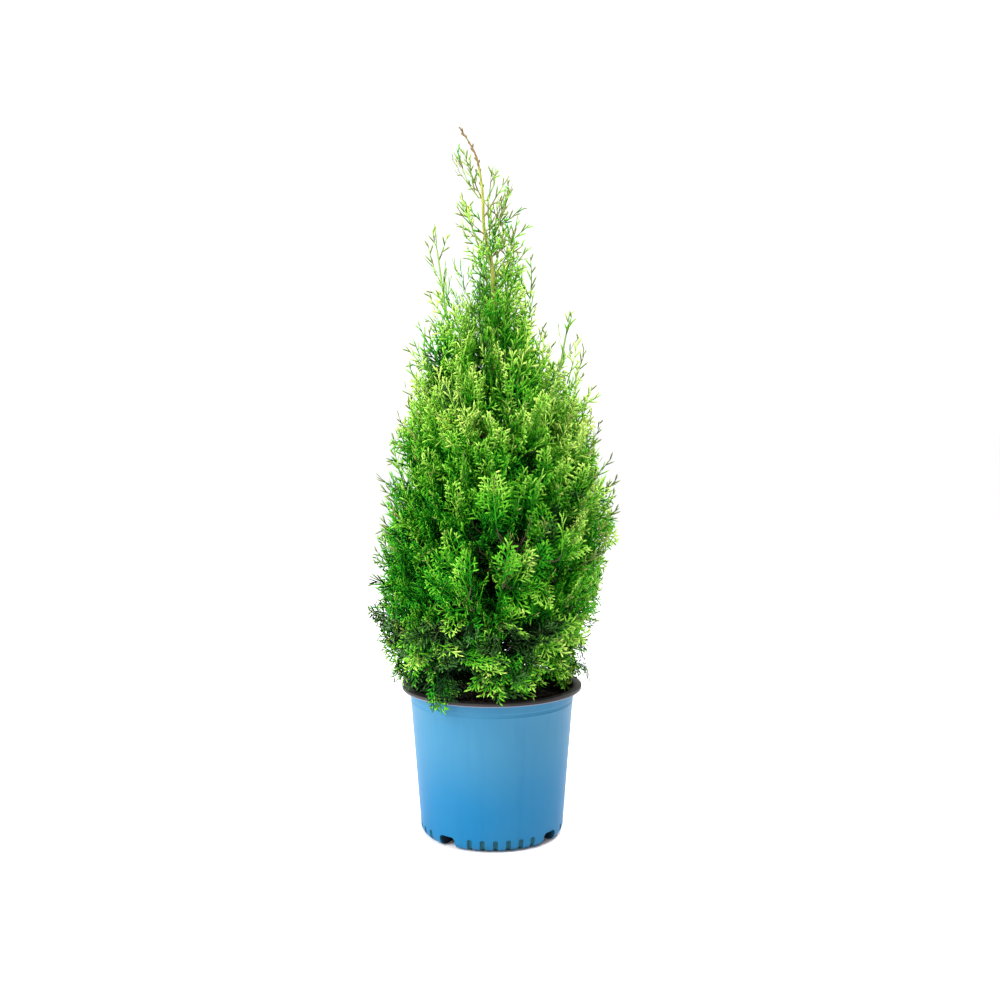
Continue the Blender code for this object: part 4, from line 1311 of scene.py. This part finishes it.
    def place_fronds(self, number, seats, open_habit, rng, lift=0.0):
        """Sets a modelled frond on each seat, and drops the ribbons that would leave the room."""
        for base, way, facing, roll, wanted in seats:
            family = self.templates[open_habit]
            length = wanted * rng.uniform(0.92, 1.06)
            fitting = [size for size in family if size * 0.84 <= length]
            if not fitting:
                continue
            size = fitting[-1]
            side, normal = frame_of(way, facing, roll)
            spray = {
                "frond": rng.choice(family[size]),
                "scale": min(1.12, length / size),
                "curl": rng.uniform(-0.12, 0.2),
                "bow": copysign(rng.uniform(0.0, 0.16), side[2]),
                "mirror": rng.choice((-1, 1)),
            }
            kept = self.set_frond(number, spray, base, way, side, normal, lift != 0)
            kept.update(tone=rng.gauss(0, 0.1) + lift, accent=rng.random(), open=open_habit)
            self.placed.append(kept)

    def set_frond(self, number, spray, base, way, side, normal, stands_out):
        """The ribbons of one frond that stay in the room, in place."""
        frond = spray["frond"]

        def place(flat, lift):
            forward = flat[:, 0] * spray["scale"]
            across = flat[:, 1] * spray["scale"] * spray["mirror"] + spray["bow"] * forward**2 / frond.length
            raised = spray["curl"] * forward**2 / frond.length - 0.12 * np.abs(across) + lift
            return base + forward[:, None] * way + across[:, None] * side + raised[:, None] * normal

        a = place(frond.a, 0.0)
        b = place(frond.b, frond.lift * np.linalg.norm(frond.b - frond.a, axis=1))
        held = self.crown.holds(np.vstack((b, (a + b) / 2)), number, INTERLOCK)
        keep = held[:len(b)] & held[len(b):]
        if not stands_out:
            keep &= ~in_cleft(b)
        for i, parent in enumerate(frond.parent):
            if parent >= 0 and not keep[parent]:
                keep[i] = False
        return {
            "a": a[keep], "b": b[keep], "normal": np.tile(normal, (keep.sum(), 1)),
            "width": frond.width[keep], "roll": frond.roll[keep], "outer": frond.outer[keep],
        }


def deal_tones(placed):
    """Sorts the ribbons into leaf colours, spray by spray."""
    rng = np.random.default_rng(SEED)
    dealt = {name: [] for name in [*LEAF_TONES, *ACCENTS]}
    names = np.array(list(LEAF_TONES))
    for frond in placed:
        count = len(frond["a"])
        if count < 4:
            continue
        middle = (frond["a"] + frond["b"]) / 2
        x, y, z = middle.T
        edge = np.maximum(crown_radius(z, np.arctan2(y, x)), 0.02)
        # Painted shade and light: foliage deep in the crown gets darker tones, foliage near the outline and
        # high up lighter ones
        painted_light_share = np.clip((np.hypot(x, y) / edge - 0.45) / 0.5, 0, 1.0)
        painted_light_share = np.maximum(painted_light_share, np.interp(z, (0.64, 0.78), (0.0, 0.8)))
        cloud = noise.noise(Vector(middle.mean(axis=0)) / CLOUD_SIZE) * CLOUD_STRENGTH
        tone = 0.04 + 0.42 * painted_light_share + 0.38 * frond["outer"] ** 1.2 + np.interp(z, TONE_HEIGHTS, TONE_LIFTS)
        # Cloudy patches and random steps of tone; and painted light: the crown is lighter on its right,
        # darker on its left, most of all low down
        tone += frond["tone"] + cloud + rng.normal(0, 0.03, count) + x * np.interp(z, (0.3, 0.42), (0.8, 0.3))
        label = names[np.searchsorted(TONE_LIMITS, tone)]
        # Dull foliage low down and on sprays whose tone is lowered; murk is its darker form where the tone,
        # painted shade included, is low
        dull = (z < DULL_BELOW) & (frond["accent"] > np.interp(x, (-0.1, 0.04), (0.15, 0.5))) & (tone < 0.62)
        dull |= frond["tone"] < -0.2
        label = np.where(dull, np.where(tone < 0.38, "murk", "dull"), label)
        if frond["accent"] < GOLD_SHARE:
            label = np.where(frond["outer"] > 0.7, "gold", label)
        if frond["open"] and frond["tone"] < 0.2:
            worn = (painted_light_share > 0.88) & (frond["outer"] > 0.45 + 0.5 * frond["accent"])
            label = np.where(worn & (tone > 0.4), "olive", label)
            bare = rng.random(count) < np.interp(z, (0.72, 0.84), (0.0, 0.75))
            label = np.where(bare, np.where(frond["outer"] > 0.35, "olive", "bronze"), label)
        for name in set(label):
            mask = label == name
            dealt[str(name)].append([frond[key][mask] for key in ("a", "b", "normal", "width", "roll")])
    return {name: [np.concatenate(column) for column in zip(*rows)] for name, rows in dealt.items() if rows}


def mesh_object(name, vertices, faces, sizes):
    """A mesh from arrays: corner indices face after face, and how many corners each face has."""
    mesh = bpy.data.meshes.new(name)
    mesh.vertices.add(len(vertices))
    mesh.vertices.foreach_set("co", vertices.astype(np.float32).ravel())
    mesh.loops.add(len(faces))
    mesh.loops.foreach_set("vertex_index", faces.astype(np.int32))
    mesh.polygons.add(len(sizes))
    starts = np.concatenate(((0,), np.cumsum(sizes)[:-1]))
    mesh.polygons.foreach_set("loop_start", starts.astype(np.int32))
    mesh.polygons.foreach_set("loop_total", sizes.astype(np.int32))
    mesh.update(calc_edges=True)
    mesh.validate()
    return linked(name, mesh)


# Corners of one ribbon: left and right at its base, left, right and ridge near its end, and its tip
RIBBON_FACES = np.array((0, 2, 3, 1, 2, 5, 3, 0, 1, 4, 0, 4, 2, 1, 3, 4, 2, 4, 5, 3, 5, 4))
RIBBON_SIZES = np.array((4, 3, 3, 3, 3, 3, 3))
RIBBON_TRIANGLES = 8
RIBBON_CORNERS = 6
MOST_TRIANGLES = 190000


def ribbon_object(name, a, b, normal, width, roll):
    """Joined ribbons: flat below, ridged above, widest near the end and pointed at the tip."""
    along = b - a
    across = unit(np.cross(along, normal))
    up = unit(np.cross(across, along))
    turned_across = across * np.cos(roll)[:, None] + up * np.sin(roll)[:, None]
    half = width[:, None] * turned_across
    ridge = unit(np.cross(turned_across, along)) * FINGER_RIDGE
    wide = a + along * 0.7
    corners = (a - half * 0.72, a + half * 0.72, wide - half, wide + half, wide + ridge, b)
    vertices = np.stack(corners, axis=1).reshape(-1, 3)
    faces = (RIBBON_FACES[None] + RIBBON_CORNERS * np.arange(len(a))[:, None]).ravel()
    return mesh_object(name, vertices, faces, np.tile(RIBBON_SIZES, len(a)))


def tube_object(name, tubes, sides):
    """Joined tapering tubes with pointed ends."""
    vertices, faces, sizes = [], [], []
    start = 0
    for points, first, last in tubes:
        count = len(points)
        along = unit(np.gradient(points, axis=0))
        side = unit(np.cross(along, (0.31, 0.52, 0.79)))
        other = np.cross(along, side)
        radii = np.linspace(first, last, count)[:, None]
        for k in range(sides):
            angle = 2 * pi * k / sides
            vertices.append(points + radii * swung(side, other, angle))
        for k in range(sides):
            j = (k + 1) % sides
            for i in range(count - 1):
                faces += [start + k * count + i, start + j * count + i,
                          start + j * count + i + 1, start + k * count + i + 1]
                sizes.append(4)
        faces += [start + k * count for k in reversed(range(sides))]
        sizes.append(sides)
        faces += [start + k * count + count - 1 for k in range(sides)]
        sizes.append(sides)
        start += sides * count
    return mesh_object(name, np.concatenate(vertices), np.array(faces), np.array(sizes))


def make_foliage(masses):
    growth = Growth(masses)
    growth.grow()
    nodes = [mass.name for mass in masses]
    colours = {**LEAF_TONES, **ACCENTS}
    most = MOST_TRIANGLES // RIBBON_TRIANGLES
    for name, columns in deal_tones(growth.placed).items():
        finish = Finish(f"leaf_{name}", colours[name], roughness=0.7, specular_ior_level=0.1)
        count = len(columns[0])
        for part, first in enumerate(range(0, count, most)):
            rows = [column[first:first + most] for column in columns]
            piece = ribbon_object(f"leaves_{name}_{part + 1}", *rows)
            finish_piece(piece, finish.made, "foliage", *nodes)
    for tubes, name, colour in zip(growth.tubes, ("woody", "green"), TWIG_TONES):
        piece = tube_object(f"twigs_{name}", tubes, TWIG_SIDES)
        finish_piece(piece, Finish(f"twig_{name}", colour, roughness=0.7).made, "foliage", *nodes)


# Studio


# Camera fitted to the pot's ellipses: its place, how many degrees it looks down, and its lens
CAMERA_PLACE = (0.0108, -1.6, 0.563)
CAMERA_DROP = 4.21
LENS = 43.56
SKY_STRENGTH = 1.15
SKY_SLANT = 1.1
# Name, place, size and power of each lamp. They aim at the middle of the plant
LAMPS = (
    ("key_left", (-1.8, -0.85, 1.3), 1.4, 55.0),
    ("rim_right", (1.2, 1.2, 2.1), 1.2, 50.0),
    ("overhead", (0.35, -0.4, 2.0), 0.8, 25.0),
)
LAMP_TARGET = Vector((0, 0, 0.42))


def make_studio():
    floor = added(bpy.ops.mesh.primitive_plane_add, size=60.0)
    floor.name = "studio_floor"
    finish = Finish("studio_white", (241, 240, 244), roughness=1.0, specular_ior_level=0.0)
    floor.data.materials.append(finish.made)
    # Soft light from the front is stronger on the left. The sky that the camera sees is even
    sky = Finish("studio_sky", shader="Background", color=(1.0, 1.0, 1.0, 1.0))
    bpy.context.scene.world = sky.made
    _, (x, y, _) = sky.place("Generated")
    ends = {"Value": y, "From Min": 0.35, "From Max": -0.35}
    front = sky.node("ShaderNodeMapRange", inputs=ends, output="Result")
    seen = sky.node("ShaderNodeLightPath", output="Is Camera Ray")
    sky.set("Strength", SKY_STRENGTH - x * front * (1 - seen) * SKY_SLANT)
    for name, place, size, power in LAMPS:
        lamp = bpy.data.lights.new(name, "AREA")
        lamp.shape = "DISK"
        lamp.size = size
        lamp.energy = power
        holder = linked(name, lamp)
        holder.location = place
        holder.rotation_euler = (LAMP_TARGET - Vector(place)).to_track_quat("-Z", "Y").to_euler()
    bpy.context.scene.view_settings.view_transform = "Standard"


def make_camera():
    lens = bpy.data.cameras.new("view")
    lens.sensor_width = 36.0
    lens.lens = LENS
    camera = linked("view", lens)
    camera.location = CAMERA_PLACE
    camera.rotation_euler = (radians(90 - CAMERA_DROP), 0, 0)
    bpy.context.scene.camera = camera


make_camera()
make_studio()
all_limbs = all_masses()
make_pot()
make_mix()
make_trunk()
make_boughs(all_limbs)
make_foliage(all_limbs)
